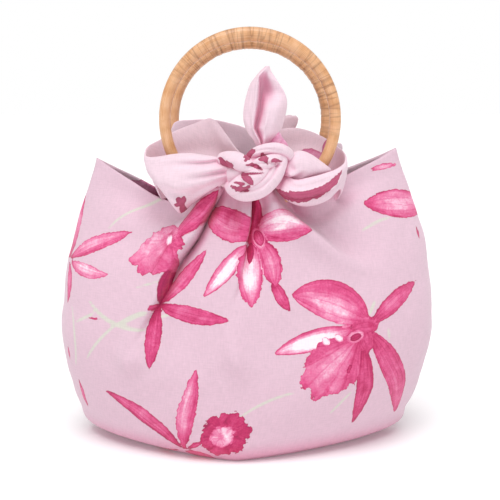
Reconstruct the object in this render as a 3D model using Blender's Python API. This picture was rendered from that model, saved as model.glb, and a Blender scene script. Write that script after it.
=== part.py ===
"""Knot bag: one square of printed cloth tied round two cane rings, standing on its flat base.

Metres, +Z up, front face towards -Y. The origin is on the floor under the middle of the bag.
"""

import math

import bmesh
import bpy
import numpy as np

# Driving dimensions
RING_DIAMETER = 0.150  # over the cane, the usual size of a bag handle ring
RING_HEIGHT = 0.2835  # centre of both rings above the floor
RING_SPREAD = 0.045  # each ring's plane from the middle of the bag
RING_SHIFT = 0.0035  # rings sit this far to the right of the belly's middle
CANE_THIN = 0.0048  # cane radius at the sides and under the cloth
CANE_THICK = 0.0060  # cane radius at the top, where the joint is
CLOTH = 0.0018  # thickness of the sheet with its weave and hems
RING_STEPS = 72
CANE_SIDES = 10
BUNDLE_SIDES = 10
BASE_INNER = 0.55  # size of the inner outline that the flat base is filled from

# The bag's outline at each height: half widths, half depths and squareness (1 diamond, 2 ellipse)
LEVELS = (
    # height, left, right, front, back, squareness
    (0.000, 0.1240, 0.1170, 0.0735, 0.0735, 1.30),
    (0.006, 0.1405, 0.1310, 0.0795, 0.0795, 1.40),
    (0.028, 0.1555, 0.1440, 0.0860, 0.0860, 1.70),
    (0.062, 0.1640, 0.1560, 0.0890, 0.0890, 2.00),
    (0.094, 0.1690, 0.1620, 0.0885, 0.0885, 2.10),
    (0.131, 0.1665, 0.1620, 0.0845, 0.0845, 2.00),
    (0.155, 0.1630, 0.1595, 0.0790, 0.0790, 1.85),
)
BASE_FRONT_SHIFT = -0.012  # the base's front corner is left of the middle
ROW_HEIGHTS = (0.006, 0.016, 0.028, 0.045, 0.062, 0.078, 0.094, 0.112, 0.131, 0.155)
SHOULDER_ROWS = 6  # rows from the last level up to the rim

# The cloth's edge from each ear (turn 0) to the gather at the ring (turn 1)
LEFT_RIM = (
    # turn, x, depth, height
    (0.00, -0.1345, 0.000, 0.2500),
    (0.12, -0.1200, 0.010, 0.2415),
    (0.25, -0.1020, 0.021, 0.2315),
    (0.38, -0.0800, 0.033, 0.2185),
    (0.49, -0.0570, 0.046, 0.2085),
    (0.56, -0.0450, 0.054, 0.2170),
    (0.63, -0.0350, 0.057, 0.2270),
    (0.80, -0.0180, 0.059, 0.2325),
    (1.00, 0.0000, 0.060, 0.2335),
)
RIGHT_RIM = (
    (0.00, 0.1280, 0.000, 0.2590),
    (0.12, 0.1140, 0.010, 0.2515),
    (0.25, 0.0980, 0.020, 0.2440),
    (0.38, 0.0780, 0.031, 0.2350),
    (0.49, 0.0570, 0.045, 0.2245),
    (0.56, 0.0460, 0.053, 0.2240),
    (0.63, 0.0360, 0.057, 0.2275),
    (0.80, 0.0180, 0.059, 0.2325),
    (1.00, 0.0000, 0.060, 0.2335),
)
# Where the wall's columns stand in each quarter, closer together towards the gather
TURNS = (0.0, 0.06, 0.12, 0.19, 0.25, 0.32, 0.38, 0.44, 0.5, 0.55, 0.6, 0.66, 0.72, 0.79, 0.86, 0.93)

# Pleats of a gathered panel, across the panel from the left ear (-1) to the right ear (1)
PLEATS = (
    # place, width, depth (in is negative), lowest height
    (-0.42, 0.05, -0.0040, 0.100),
    (-0.30, 0.06, 0.0045, 0.100),
    (-0.12, 0.06, -0.0035, 0.140),
    (0.00, 0.06, 0.0035, 0.120),
    (0.12, 0.05, -0.0040, 0.130),
    (0.28, 0.07, 0.0050, 0.130),
    (0.42, 0.07, -0.0040, 0.120),
)

# A strip's cross-section: how far down from its top, and its share of the thickness there
STRIP_PROFILE = ((0.0, 0.0), (0.12, 0.55), (0.5, 1.0), (0.88, 0.55), (1.0, 0.0))

# Each end of the cloth: from the knot across the front, round the ring and back behind it
LEFT_END = (
    # top x, top y, top z, foot x, foot y, foot z, bulge, thickness
    (-0.006, -0.066, 0.2500, -0.006, -0.064, 0.2320, 0.003, 0.0080),
    (-0.022, -0.067, 0.2520, -0.022, -0.065, 0.2310, 0.004, 0.0075),
    (-0.034, -0.068, 0.2555, -0.034, -0.067, 0.2290, 0.005, 0.0065),
    (-0.048, -0.066, 0.2574, -0.045, -0.067, 0.2245, 0.005, 0.0050),
    (-0.061, -0.062, 0.2565, -0.055, -0.066, 0.2165, 0.005, 0.0035),
    (-0.074, -0.056, 0.2540, -0.060, -0.063, 0.2100, 0.004, 0.0025),
    (-0.083, -0.049, 0.2535, -0.063, -0.058, 0.2090, 0.004, 0.0022),
    (-0.087, -0.040, 0.2560, -0.064, -0.050, 0.2085, 0.003, 0.0022),
    (-0.085, -0.030, 0.2615, -0.062, -0.042, 0.2080, 0.003, 0.0022),
    (-0.077, -0.023, 0.2655, -0.056, -0.036, 0.2075, 0.002, 0.0022),
    (-0.065, -0.020, 0.2725, -0.047, -0.034, 0.2070, 0.000, 0.0025),
    (-0.050, -0.020, 0.2790, -0.036, -0.033, 0.2075, -0.001, 0.0028),
    (-0.033, -0.021, 0.2830, -0.024, -0.033, 0.2090, -0.001, 0.0030),
    (-0.012, -0.026, 0.2660, -0.010, -0.0335, 0.2130, 0.000, 0.0035),
    (0.004, -0.030, 0.2450, 0.004, -0.0335, 0.2170, 0.000, 0.0035),
)
RIGHT_END = (
    (0.006, -0.066, 0.2500, 0.006, -0.064, 0.2320, 0.003, 0.0080),
    (0.021, -0.067, 0.2505, 0.018, -0.064, 0.2290, 0.004, 0.0070),
    (0.030, -0.068, 0.2480, 0.029, -0.065, 0.2195, 0.005, 0.0055),
    (0.038, -0.068, 0.2455, 0.037, -0.064, 0.2155, 0.006, 0.0040),
    (0.048, -0.066, 0.2450, 0.046, -0.062, 0.2140, 0.006, 0.0032),
    (0.059, -0.062, 0.2455, 0.056, -0.059, 0.2155, 0.005, 0.0026),
    (0.069, -0.056, 0.2460, 0.064, -0.056, 0.2190, 0.005, 0.0024),
    (0.077, -0.048, 0.2475, 0.072, -0.051, 0.2255, 0.004, 0.0022),
    (0.080, -0.038, 0.2505, 0.075, -0.043, 0.2290, 0.003, 0.0022),
    (0.078, -0.029, 0.2550, 0.073, -0.034, 0.2280, 0.003, 0.0022),
    (0.072, -0.023, 0.2625, 0.066, -0.029, 0.2240, 0.002, 0.0022),
    (0.064, -0.020, 0.2680, 0.054, -0.028, 0.2190, 0.001, 0.0025),
    (0.052, -0.018, 0.2735, 0.040, -0.026, 0.2150, -0.001, 0.0028),
    (0.038, -0.018, 0.2763, 0.026, -0.026, 0.2140, -0.001, 0.0030),
    (0.024, -0.019, 0.2730, 0.012, -0.026, 0.2150, 0.000, 0.0035),
    (0.006, -0.021, 0.2600, -0.002, -0.026, 0.2180, 0.000, 0.0035),
)
# The layer that stands up behind the right end's rolled edge
RIGHT_TUCK = (
    (0.016, -0.064, 0.2500, 0.016, -0.062, 0.2340, 0.002, 0.0060),
    (0.030, -0.063, 0.2555, 0.030, -0.060, 0.2330, 0.003, 0.0060),
    (0.041, -0.061, 0.2588, 0.041, -0.059, 0.2320, 0.003, 0.0055),
    (0.052, -0.0585, 0.2550, 0.052, -0.057, 0.2330, 0.003, 0.0045),
    (0.062, -0.056, 0.2480, 0.062, -0.055, 0.2350, 0.002, 0.0035),
    (0.068, -0.054, 0.2430, 0.068, -0.0535, 0.2370, 0.001, 0.0025),
)
# The cloth that passes over the ring's lowest arc, through the ring
BRIDGE_HALF_WIDTH = 0.0115
BRIDGE_HEIGHTS = (0.2201, 0.2405)
BRIDGE_DEPTHS = (-0.0660, -0.0225)
BACK_TIE_WIDTH = 0.965  # the back is tied a little narrower than the front

# The knot: its solid middle, and the wraps round it as round bundles of cloth
KNOT_CORE = (0.002, -0.067, 0.2405, 0.0215, 0.013, 0.017)  # centre, then half width, depth, height
KNOT_WRAPS = (
    # wrap, x, y, z, radius, one row for each point along a wrap
    ("lower", 0.0235, -0.070, 0.2510, 0.0060),
    ("lower", 0.0225, -0.076, 0.2425, 0.0085),
    ("lower", 0.0130, -0.079, 0.2330, 0.0100),
    ("lower", -0.0010, -0.079, 0.2300, 0.0100),
    ("lower", -0.0120, -0.075, 0.2330, 0.0085),
    ("lower", -0.0160, -0.068, 0.2400, 0.0060),
    ("upper", -0.0150, -0.068, 0.2440, 0.0060),
    ("upper", -0.0100, -0.072, 0.2505, 0.0078),
    ("upper", 0.0010, -0.073, 0.2510, 0.0080),
    ("upper", 0.0120, -0.072, 0.2535, 0.0078),
    ("upper", 0.0220, -0.067, 0.2525, 0.0060),
)

# Free ends, from the knot to the tip
TAIL_FOLD = 0.35  # how far a tail's edges come forward, as a share of its half width
FRONT_TAIL = (
    # x, y, z, half width, half thickness
    (0.0080, -0.0640, 0.2520, 0.0050, 0.0040),
    (0.0095, -0.0620, 0.2640, 0.0050, 0.0035),
    (0.0110, -0.0610, 0.2750, 0.0130, 0.0035),
    (0.0120, -0.0605, 0.2860, 0.0172, 0.0035),
    (0.0120, -0.0600, 0.2960, 0.0180, 0.0032),
    (0.0120, -0.0595, 0.3060, 0.0145, 0.0028),
    (0.0125, -0.0590, 0.3160, 0.0090, 0.0022),
    (0.0130, -0.0585, 0.3250, 0.0022, 0.0014),
)
BACK_TAIL = (
    (-0.0080, -0.0640, 0.2520, 0.0050, 0.0040),
    (-0.0150, -0.0650, 0.2600, 0.0060, 0.0035),
    (-0.0230, -0.0650, 0.2680, 0.0085, 0.0035),
    (-0.0310, -0.0640, 0.2740, 0.0090, 0.0030),
    (-0.0390, -0.0630, 0.2790, 0.0070, 0.0024),
    (-0.0450, -0.0620, 0.2820, 0.0022, 0.0014),
)

CLOTH_COLOUR = (0.80, 0.66, 0.76)
CANE_COLOUR = (0.72, 0.40, 0.19)


def clear_scene():
    for obj in list(bpy.data.objects):
        bpy.data.objects.remove(obj)


def material(name, colour, roughness):
    made = bpy.data.materials.new(name)
    made.use_nodes = True
    shader = made.node_tree.nodes["Principled BSDF"]
    shader.inputs["Base Color"].default_value = (*colour, 1.0)
    shader.inputs["Roughness"].default_value = roughness
    shader.inputs["Metallic"].default_value = 0.0
    return made


def mesh_object(name, points, faces, look):
    """An object with these points, its faces turned outwards and shaded smooth."""
    mesh = bpy.data.meshes.new(name)
    mesh.from_pydata([tuple(float(value) for value in point) for point in points], [], faces)
    work = bmesh.new()
    work.from_mesh(mesh)
    bmesh.ops.recalc_face_normals(work, faces=work.faces)
    work.to_mesh(mesh)
    work.free()
    mesh.shade_smooth()
    mesh.materials.append(look)
    obj = bpy.data.objects.new(name, mesh)
    bpy.context.scene.collection.objects.link(obj)
    return obj


def smooth_rows(rows, place):
    """The rows of a table read between its first column's values, on a curve without overshoot."""
    table = np.array(rows, float)
    keys, values = table[:, 0], table[:, 1:]
    slopes = np.gradient(values, keys, axis=0)
    index = int(np.clip(np.searchsorted(keys, place) - 1, 0, len(keys) - 2))
    span = keys[index + 1] - keys[index]
    step = (place - keys[index]) / span
    start, end = values[index], values[index + 1]
    lean = slopes[index] * span
    arrive = slopes[index + 1] * span
    return (
        (2 * step**3 - 3 * step**2 + 1) * start
        + (step**3 - 2 * step**2 + step) * lean
        + (3 * step**2 - 2 * step**3) * end
        + (step**3 - step**2) * arrive
    )


def level_point(height, angle):
    """A point of the bag's outline at this height, with angle 0 at the right and -90 degrees in front."""
    left, right, front, back, square = smooth_rows(LEVELS, height)
    across, along = math.cos(angle), math.sin(angle)
    width = right if across > 0 else left
    depth = back if along > 0 else front
    x = math.copysign(width * abs(across) ** (2 / square), across)
    y = math.copysign(depth * abs(along) ** (2 / square), along)
    lower = max(0.0, 1 - height / LEVELS[3][0])
    x += BASE_FRONT_SHIFT * lower * along**2
    return np.array((x, y, height))


def rim_point(side, facing, turn):
    x, depth, height = smooth_rows(LEFT_RIM if side < 0 else RIGHT_RIM, turn)
    return np.array((x, facing * depth, height))


def pleat_depth(place, height):
    """How far the pleats push the panel out at this place across it, growing towards the gather."""
    total = 0.0
    for centre, width, depth, lowest in PLEATS:
        rise = np.clip((height - lowest) / (LEFT_RIM[-1][3] - lowest), 0.0, 1.0)
        total += depth * rise * math.exp(-(((place - centre) / width) ** 2))
    return total


def column_points(side, facing, turn):
    """One column of the bag's wall, from the edge of its flat base up to its rim."""
    around = turn * math.pi / 2
    angle = facing * (around if side > 0 else math.pi - around)
    points = [level_point(height, angle) for height in (0.0, *ROW_HEIGHTS)]
    start, rim = points[-1], rim_point(side, facing, turn)
    climb = np.linalg.norm(rim - start)
    leave = (points[-1] - points[-2]) / np.linalg.norm(points[-1] - points[-2]) * climb
    arrive = rim - start
    for row in range(1, SHOULDER_ROWS + 1):
        step = row / SHOULDER_ROWS
        points.append(
            (2 * step**3 - 3 * step**2 + 1) * start
            + (step**3 - 2 * step**2 + step) * leave
            + (3 * step**2 - 2 * step**3) * rim
            + (step**3 - step**2) * arrive
        )
    place = side * (1 - turn)
    for point in points:
        point[1] += facing * pleat_depth(place, point[2])
    return points


def body_columns():
    """The columns of the whole wall in order round the bag, from the right ear past the back."""
    order = []
    for side, facing in ((1, 1), (-1, 1), (-1, -1), (1, -1)):
        turns = (*TURNS, 1.0)
        rising = side * facing > 0
        chosen = turns[:-1] if rising else turns[:0:-1]
        order += [column_points(side, facing, turn) for turn in chosen]
    return order


def bag_body(look):
    """The hanging part of the cloth: a sheet with thickness, closed below and open along its rim."""
    columns = body_columns()
    count, rows = len(columns), len(columns[0])
    points = [point for column in columns for point in column]
    faces = []
    for place in range(count):
        here, there = place * rows, (place + 1) % count * rows
        for row in range(rows - 1):
            faces.append((here + row, there + row, there + row + 1, here + row + 1))
    inner = len(points)
    centre = np.mean([column[0] for column in columns], axis=0)
    points += [centre + (column[0] - centre) * BASE_INNER for column in columns]
    points.append(centre)
    for place in range(count):
        nearby = (place + 1) % count
        faces.append((place * rows, inner + place, inner + nearby, nearby * rows))
        faces.append((inner + place, inner + count, inner + nearby))
    obj = mesh_object("cloth", points, faces, look)
    thicken = obj.modifiers.new("thickness", "SOLIDIFY")
    thicken.thickness = CLOTH
    thicken.offset = -1.0
    return obj


def loft(name, sections, look):
    """A closed solid through sections that have the same number of points."""
    count = len(sections[0])
    points = [point for section in sections for point in section]
    faces = []
    for step in range(len(sections) - 1):
        for place in range(count):
            nearby = (place + 1) % count
            low, high = step * count, (step + 1) * count
            faces.append((low + place, low + nearby, high + nearby, high + place))
    faces.append(tuple(range(count)))
    last = (len(sections) - 1) * count
    faces.append(tuple(range(last + count - 1, last - 1, -1)))
    return mesh_object(name, points, faces, look)


def band(name, rows, look, mirrored=False):
    """A strip of cloth on edge, from its table of top and foot points, bulging out from the ring."""
    table = np.array(rows, float)
    tops, feet = table[:, 0:3], table[:, 3:6]
    middles = (tops + feet) / 2
    along = np.gradient(middles, axis=0)
    sections = []
    for top, foot, run, bulge, thickness in zip(tops, feet, along, table[:, 6], table[:, 7]):
        out = np.cross(run, top - foot)
        out /= np.linalg.norm(out)
        if mirrored:
            out = -out
        section = []
        for down, swell in STRIP_PROFILE:
            lift = out * (bulge * math.sin(math.pi * down) + thickness * swell / 2)
            section.append(top + (foot - top) * down + lift)
        for down, swell in STRIP_PROFILE[-2:0:-1]:
            lift = out * (bulge * math.sin(math.pi * down) - thickness * swell / 2)
            section.append(top + (foot - top) * down + lift)
        sections.append(section)
    return loft(name, sections, look)


def bundle(name, rows, look):
    """A round bundle of cloth through a list of centres and radii."""
    table = np.array(rows, float)
    centres, radii = table[:, 0:3], table[:, 3]
    along = np.gradient(centres, axis=0)
    sections = []
    for centre, radius, run in zip(centres, radii, along):
        run = run / np.linalg.norm(run)
        out = np.cross(run, (0.0, 1.0, 0.0))
        out /= np.linalg.norm(out)
        over = np.cross(out, run)
        sections.append(
            [
                centre + radius * (out * math.cos(turn) + over * math.sin(turn))
                for turn in np.linspace(0, 2 * math.pi, BUNDLE_SIDES, endpoint=False)
            ]
        )
    return loft(name, sections, look)


def leaf(name, rows, look):
    """A free end of the cloth, flat and pointed, standing on its narrow foot."""
    table = np.array(rows, float)
    centres = table[:, 0:3]
    along = np.gradient(centres, axis=0)
    sections = []
    for row, run in zip(table, along):
        centre, half_width, half_thick = row[0:3], row[3], row[4]
        run = run / np.linalg.norm(run)
        across = np.cross((0.0, 1.0, 0.0), run)
        across /= np.linalg.norm(across)
        ahead = np.cross(run, across)
        section = []
        for turn in np.linspace(0, 2 * math.pi, BUNDLE_SIDES, endpoint=False):
            fold = -TAIL_FOLD * half_width * math.cos(turn) ** 2
            offset = across * half_width * math.cos(turn)
            section.append(centre + offset + ahead * (half_thick * math.sin(turn) + fold))
        sections.append(section)
    return loft(name, sections, look)


def knot_core(name, look):
    x, y, z, wide, deep, high = KNOT_CORE
    work = bmesh.new()
    bmesh.ops.create_uvsphere(work, u_segments=14, v_segments=9, radius=1.0)
    bmesh.ops.scale(work, vec=(wide, deep, high), verts=work.verts)
    bmesh.ops.translate(work, vec=(x, y, z), verts=work.verts)
    mesh = bpy.data.meshes.new(name)
    work.to_mesh(mesh)
    work.free()
    mesh.materials.append(look)
    obj = bpy.data.objects.new(name, mesh)
    bpy.context.scene.collection.objects.link(obj)
    return obj


def bridge(name, look):
    """The gathered cloth where it passes through the ring, just over the ring's lowest arc."""
    half = BRIDGE_HALF_WIDTH
    low, high = BRIDGE_HEIGHTS
    sections = []
    for y in BRIDGE_DEPTHS:
        sections.append([(-half, y, low), (half, y, low), (half, y, high), (-half, y, high)])
    return loft(name, sections, look)


def tie(facing, tail_rows, look):
    """One knot with its ends, its pass through the ring and its tail, facing -Y, or +Y if turned."""
    pieces = [
        band("left_end", LEFT_END, look),
        band("right_end", RIGHT_END, look, mirrored=True),
        band("right_tuck", RIGHT_TUCK, look, mirrored=True),
        knot_core("knot_core", look),
        bridge("bridge", look),
        leaf("tail", tail_rows, look),
    ]
    for wrap in ("lower", "upper"):
        rows = [row[1:] for row in KNOT_WRAPS if row[0] == wrap]
        pieces.append(bundle(f"{wrap}_wrap", rows, look))
    if facing > 0:
        for piece in pieces:
            for vertex in piece.data.vertices:
                vertex.co.x = -vertex.co.x * BACK_TIE_WIDTH
                vertex.co.y = -vertex.co.y
    return pieces


def join_pieces(body, pieces):
    """Boolean unions, one for each piece, so the cloth is one solid."""
    for piece in pieces:
        piece.hide_render = True
        piece.display_type = "WIRE"
        union = body.modifiers.new(piece.name, "BOOLEAN")
        union.operation = "UNION"
        union.object = piece


def cane_ring(name, depth, look):
    """A cane bent into a ring, thicker over its joint at the top."""
    sections = []
    for step in range(RING_STEPS):
        turn = 2 * math.pi * step / RING_STEPS
        rise = max(0.0, math.sin(turn)) ** 2
        radius = CANE_THIN + (CANE_THICK - CANE_THIN) * rise
        reach = RING_DIAMETER / 2 - radius
        for side in range(CANE_SIDES):
            around = 2 * math.pi * side / CANE_SIDES
            out = reach + radius * math.cos(around)
            height = RING_HEIGHT + out * math.sin(turn)
            sections.append((out * math.cos(turn), depth + radius * math.sin(around), height))
    faces = []
    for step in range(RING_STEPS):
        here, there = step * CANE_SIDES, (step + 1) % RING_STEPS * CANE_SIDES
        for side in range(CANE_SIDES):
            nearby = (side + 1) % CANE_SIDES
            faces.append((here + side, here + nearby, there + nearby, there + side))
    return mesh_object(name, sections, faces, look)


def main():
    clear_scene()
    fabric = material("printed_cotton", CLOTH_COLOUR, 0.85)
    cane = material("natural_cane", CANE_COLOUR, 0.45)
    body = bag_body(fabric)
    front = tie(-1, FRONT_TAIL, fabric)
    back = tie(1, BACK_TAIL, fabric)
    join_pieces(body, front + back)
    rings = [
        cane_ring("ring_front", -RING_SPREAD, cane),
        cane_ring("ring_back", RING_SPREAD, cane),
    ]
    for obj in (body, *rings, *front, *back):
        obj.location.x = RING_SHIFT


main()
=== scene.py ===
import math
import random

import bmesh
import bpy
import numpy as np
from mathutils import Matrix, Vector


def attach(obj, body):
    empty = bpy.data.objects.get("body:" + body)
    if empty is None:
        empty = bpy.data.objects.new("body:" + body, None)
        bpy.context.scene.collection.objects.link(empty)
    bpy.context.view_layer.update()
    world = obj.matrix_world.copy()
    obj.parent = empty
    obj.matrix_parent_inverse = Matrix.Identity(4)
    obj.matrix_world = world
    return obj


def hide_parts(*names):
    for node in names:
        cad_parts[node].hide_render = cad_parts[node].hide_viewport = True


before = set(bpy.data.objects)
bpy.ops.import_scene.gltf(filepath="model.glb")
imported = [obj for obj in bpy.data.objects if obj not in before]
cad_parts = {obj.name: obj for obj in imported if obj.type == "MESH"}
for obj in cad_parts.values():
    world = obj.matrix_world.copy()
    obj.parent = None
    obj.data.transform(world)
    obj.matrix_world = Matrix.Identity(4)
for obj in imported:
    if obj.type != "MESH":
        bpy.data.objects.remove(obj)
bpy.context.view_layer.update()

# Knot bag: one square of orchid-printed cotton tied round two cane rings. Metres, front towards -Y.
print("frame loaded:", sorted(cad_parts))

bagShift = 0.0035  # the rings and the knot stand this far right of the middle of the frame
mm = 0.001  # the folds, the tied ends and the print are given in millimetres


def linear(code):
    # sRGB hex to a linear colour
    parts = [int(code[place:place + 2], 16) / 255 for place in (1, 3, 5)]
    return (*[part / 12.92 if part <= 0.04045 else ((part + 0.055) / 1.055) ** 2.4 for part in parts], 1.0)


def addNode(tree, kind, inputs=None, **settings):
    node = tree.nodes.new(kind)
    for name, value in settings.items():
        setattr(node, name, value)
    for socket, value in (inputs or {}).items():
        if isinstance(value, bpy.types.NodeSocket):
            tree.links.new(value, node.inputs[socket])
        else:
            node.inputs[socket].default_value = value
    return node


def setRamp(node, stops):
    ramp = node.color_ramp
    while len(ramp.elements) < len(stops):
        ramp.elements.new(0.5)
    for element, (place, code) in zip(ramp.elements, stops):
        element.position = place
        element.color = linear(code)


def curve(step, start, leave, end, arrive):
    # a smooth curve from start to end, which leaves and arrives in the given directions
    return (
        (2 * step**3 - 3 * step**2 + 1) * start
        + (step**3 - 2 * step**2 + step) * leave
        + (3 * step**2 - 2 * step**3) * end
        + (step**3 - step**2) * arrive
    )


def readTable(rows, at):
    # a table's rows read between the values of its first column, on a smooth curve
    table = np.array(rows, float)
    keys, values = table[:, 0], table[:, 1:]
    slopes = np.gradient(values, keys, axis=0)
    at = np.atleast_1d(np.asarray(at, float))
    index = np.clip(np.searchsorted(keys, at) - 1, 0, len(keys) - 2)
    span = (keys[index + 1] - keys[index])[:, None]
    step = ((at - keys[index])[:, None]) / span
    return curve(step, values[index], slopes[index] * span, values[index + 1], slopes[index + 1] * span)


def smoothPath(points, count):
    rows = [(place, *point) for place, point in enumerate(points)]
    return readTable(rows, np.linspace(0, len(points) - 1, count))


def unit(vectors):
    return vectors / np.maximum(np.linalg.norm(vectors, axis=-1, keepdims=True), 1e-9)


far = 9.0  # metres: beyond anything on the bag


def foldLift(x, z, folds):
    # how far the given folds lift the cloth at (x, z), and how far a tuck slides it over sideways
    lift, slideX, slideZ = np.zeros_like(x), np.zeros_like(x), np.zeros_like(x)
    for kind, *shape, points in folds:
        path = smoothPath(points, 18) * mm
        gap, height = np.full(x.shape, far), np.zeros_like(x)
        acrossX, acrossZ = np.zeros_like(x), np.zeros_like(x)
        for start, end in zip(path[:-1], path[1:]):
            run = end[:2] - start[:2]
            length = np.hypot(*run)
            along = np.clip(((x - start[0]) * run[0] + (z - start[1]) * run[1]) / length**2, 0, 1)
            offX, offZ = x - start[0] - along * run[0], z - start[1] - along * run[1]
            found = np.hypot(offX, offZ)
            side = np.where(run[0] * offZ - run[1] * offX < 0, -1.0, 1.0)
            closer = found < np.abs(gap)
            gap = np.where(closer, found * side, gap)
            height = np.where(closer, start[2] + along * (end[2] - start[2]), height)
            acrossX = np.where(closer, -run[1] / length, acrossX)
            acrossZ = np.where(closer, run[0] / length, acrossZ)
        if kind == "soft":  # a rounded ridge or trough
            left, right = shape
            lift += height * np.exp(-((gap / (np.where(gap < 0, left, right) * mm)) ** 2))
            continue
        # a tuck rises slowly, then drops under itself on its right side
        left, valley, depth = shape[0] * mm, shape[1] * mm, shape[2]
        drop = valley * 0.45  # the overhang's share of the valley
        rise = np.exp(-((gap / left) ** 2))
        fall = (1 + depth) * (0.5 + 0.5 * np.cos(np.pi * np.clip(gap / drop, 0, 1))) - depth
        back = -depth * np.exp(-(((gap - drop) / valley) ** 2))
        lift += height * np.where(gap < 0, rise, np.where(gap < drop, fall, back))
        over = height * 0.45 * np.exp(-((gap / drop) ** 2))
        slideX += acrossX * over
        slideZ += acrossZ * over
    return lift, slideX, slideZ


def ripple(x, z, height, length, seed):
    # faint unevenness of hanging cloth
    source = random.Random(seed)
    total = np.zeros_like(x)
    for _ in range(7):
        turn, start = source.uniform(0, math.pi), source.uniform(0, 6.28)
        wave = length * source.uniform(0.6, 1.6)
        total += np.sin((x * math.cos(turn) + z * math.sin(turn)) * 6.283 / wave + start)
    return total * height / 7


printLayers = ("sepal", "petal", "lip", "mark")  # from the lowest to the topmost
petalSteps = 24
blank = 0.03  # how far outside every petal and stem a bare place counts as, in metres
leastWidth = 0.0012  # no petal is read as narrower than this, so that its streaks don't crowd


# the print is kept as each point's place in the nearest petal: distance outside it, along and across it
def emptyPrint(count):
    layers = {}
    for layer in printLayers:
        layers[layer + "Shape"] = np.tile((blank, 0.0, 0.0), (count, 1))
        layers[layer + "Look"] = np.zeros((count, 3))  # tone, white, ruffle
    layers["stemGap"] = np.full(count, blank)
    return layers


def nearestOn(path, u, v):
    # distance outside a stroke of (u, v, half width) points, then along it and across it
    gap, along, across = np.full(u.shape, far), np.zeros_like(u), np.zeros_like(u)
    steps = len(path) - 1
    for place in range(steps):
        start, run = path[place, :2], path[place + 1, :2] - path[place, :2]
        share = np.clip(((u - start[0]) * run[0] + (v - start[1]) * run[1]) / (run @ run), 0, 1)
        offU, offV = u - start[0] - share * run[0], v - start[1] - share * run[1]
        reach = np.hypot(offU, offV)
        wide = path[place, 2] + share * (path[place + 1, 2] - path[place, 2])
        side = np.where(run[0] * offV - run[1] * offU < 0, -1.0, 1.0)
        closer = reach - wide < gap
        gap = np.where(closer, reach - wide, gap)
        along = np.where(closer, (place + share) / steps, along)
        across = np.where(closer, side * reach / np.maximum(wide, leastWidth), across)
    return gap, along, across


def keepNearest(layers, layer, where, shape, look):
    held = layers[layer + "Shape"][where]
    closer = shape[:, 0] < held[:, 0]
    rows = np.flatnonzero(where)[closer]
    layers[layer + "Shape"][rows] = shape[closer]
    layers[layer + "Look"][rows] = look


def petalPath(u, v, heading, length, width, curl):
    # a petal's middle line, which turns by curl from end to end, and its half width there, in metres
    share = np.linspace(0, 1, petalSteps + 1)
    turn = np.radians(heading + curl * (share[:-1] + 0.5 / petalSteps - 0.5))
    path = np.zeros((len(share), 3))
    path[1:, 0] = np.cumsum(np.cos(turn)) * length / petalSteps
    path[1:, 1] = np.cumsum(np.sin(turn)) * length / petalSteps
    path[:, :2] += (u, v)
    path[:, 2] = width * np.abs(np.sin(math.pi * share**0.9)) ** 0.85
    return path * mm


def printPetals(layers, u, v, petals):
    for layer, tone, white, ruffle, lean, *size in petals:
        path = petalPath(*size)
        path[:, 2] = np.maximum(path[:, 2], 0.0001)
        edge = path[:, 2].max() + 0.012
        low, high = path[:, :2].min(axis=0) - edge, path[:, :2].max(axis=0) + edge
        where = (u > low[0]) & (u < high[0]) & (v > low[1]) & (v < high[1])
        if where.any():
            gap, along, across = nearestOn(path, u[where], v[where])
            shape = np.stack([gap, along, across - lean], axis=1)
            keepNearest(layers, layer, where, shape, (tone, white, ruffle))


def printFans(layers, u, v, fans):
    # a lip: scallops of different reach that open from its throat
    for layer, tone, white, ruffle, throatU, throatV, heading, spread, scallops in fans:
        throatU, throatV, scallops = throatU * mm, throatV * mm, np.array(scallops) * mm
        reach = scallops.max()
        where = (np.abs(u - throatU) < reach * 1.3) & (np.abs(v - throatV) < reach * 1.3)
        if not where.any():
            continue
        offU, offV = u[where] - throatU, v[where] - throatV
        turn = (np.arctan2(offV, offU) - math.radians(heading) + math.pi) % (2 * math.pi) - math.pi
        share = turn / math.radians(spread)
        place = np.clip((share + 1) / 2, 0, 1) * len(scallops)
        limit = np.interp(place, np.arange(len(scallops)) + 0.5, scallops)
        limit *= 1 - 0.10 * (2 * np.abs(place % 1 - 0.5)) ** 3 - 0.02 * np.abs(np.sin(place * 9.4))
        if spread < 175:
            limit *= np.clip((1.04 - np.abs(share)) * 5, 0.02, 1)
        outward = np.hypot(offU, offV)
        gap = (outward - limit) * 0.8
        shape = np.stack([gap, outward / reach, share * 1.6], axis=1)
        keepNearest(layers, layer, where, shape, (tone, white, ruffle))


def printStems(layers, u, v, stems):
    for stem in stems:
        path = petalPath(*stem)
        path[:, 2] = stem[4] * mm * (0.5 + 0.5 * np.sin(np.linspace(0, math.pi, len(path))) ** 0.5)
        layers["stemGap"] = np.minimum(layers["stemGap"], nearestOn(path, u, v)[0])


def writePrint(mesh, layers):
    for name, values in layers.items():
        kind = "FLOAT" if values.ndim == 1 else "FLOAT_VECTOR"
        attribute = mesh.attributes.new(name, kind, "POINT")
        attribute.data.foreach_set("value" if values.ndim == 1 else "vector", values.astype(np.float32).ravel())


def clothObject(name, points, faces, cut, layers, looks):
    # one piece of the cloth; cut holds each corner's place on the flat cloth, in metres
    mesh = bpy.data.meshes.new(name)
    mesh.from_pydata([tuple(point) for point in points.tolist()], [], faces)
    uvMap = mesh.uv_layers.new(name="cut")
    corners = np.zeros(len(mesh.loops), np.int32)
    mesh.loops.foreach_get("vertex_index", corners)
    uvMap.data.foreach_set("uv", cut[corners].astype(np.float32).ravel())
    writePrint(mesh, layers)
    mesh.shade_smooth()
    for look in looks:
        mesh.materials.append(look)
    piece = bpy.data.objects.new(name, mesh)
    bpy.context.scene.collection.objects.link(piece)
    return piece


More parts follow.
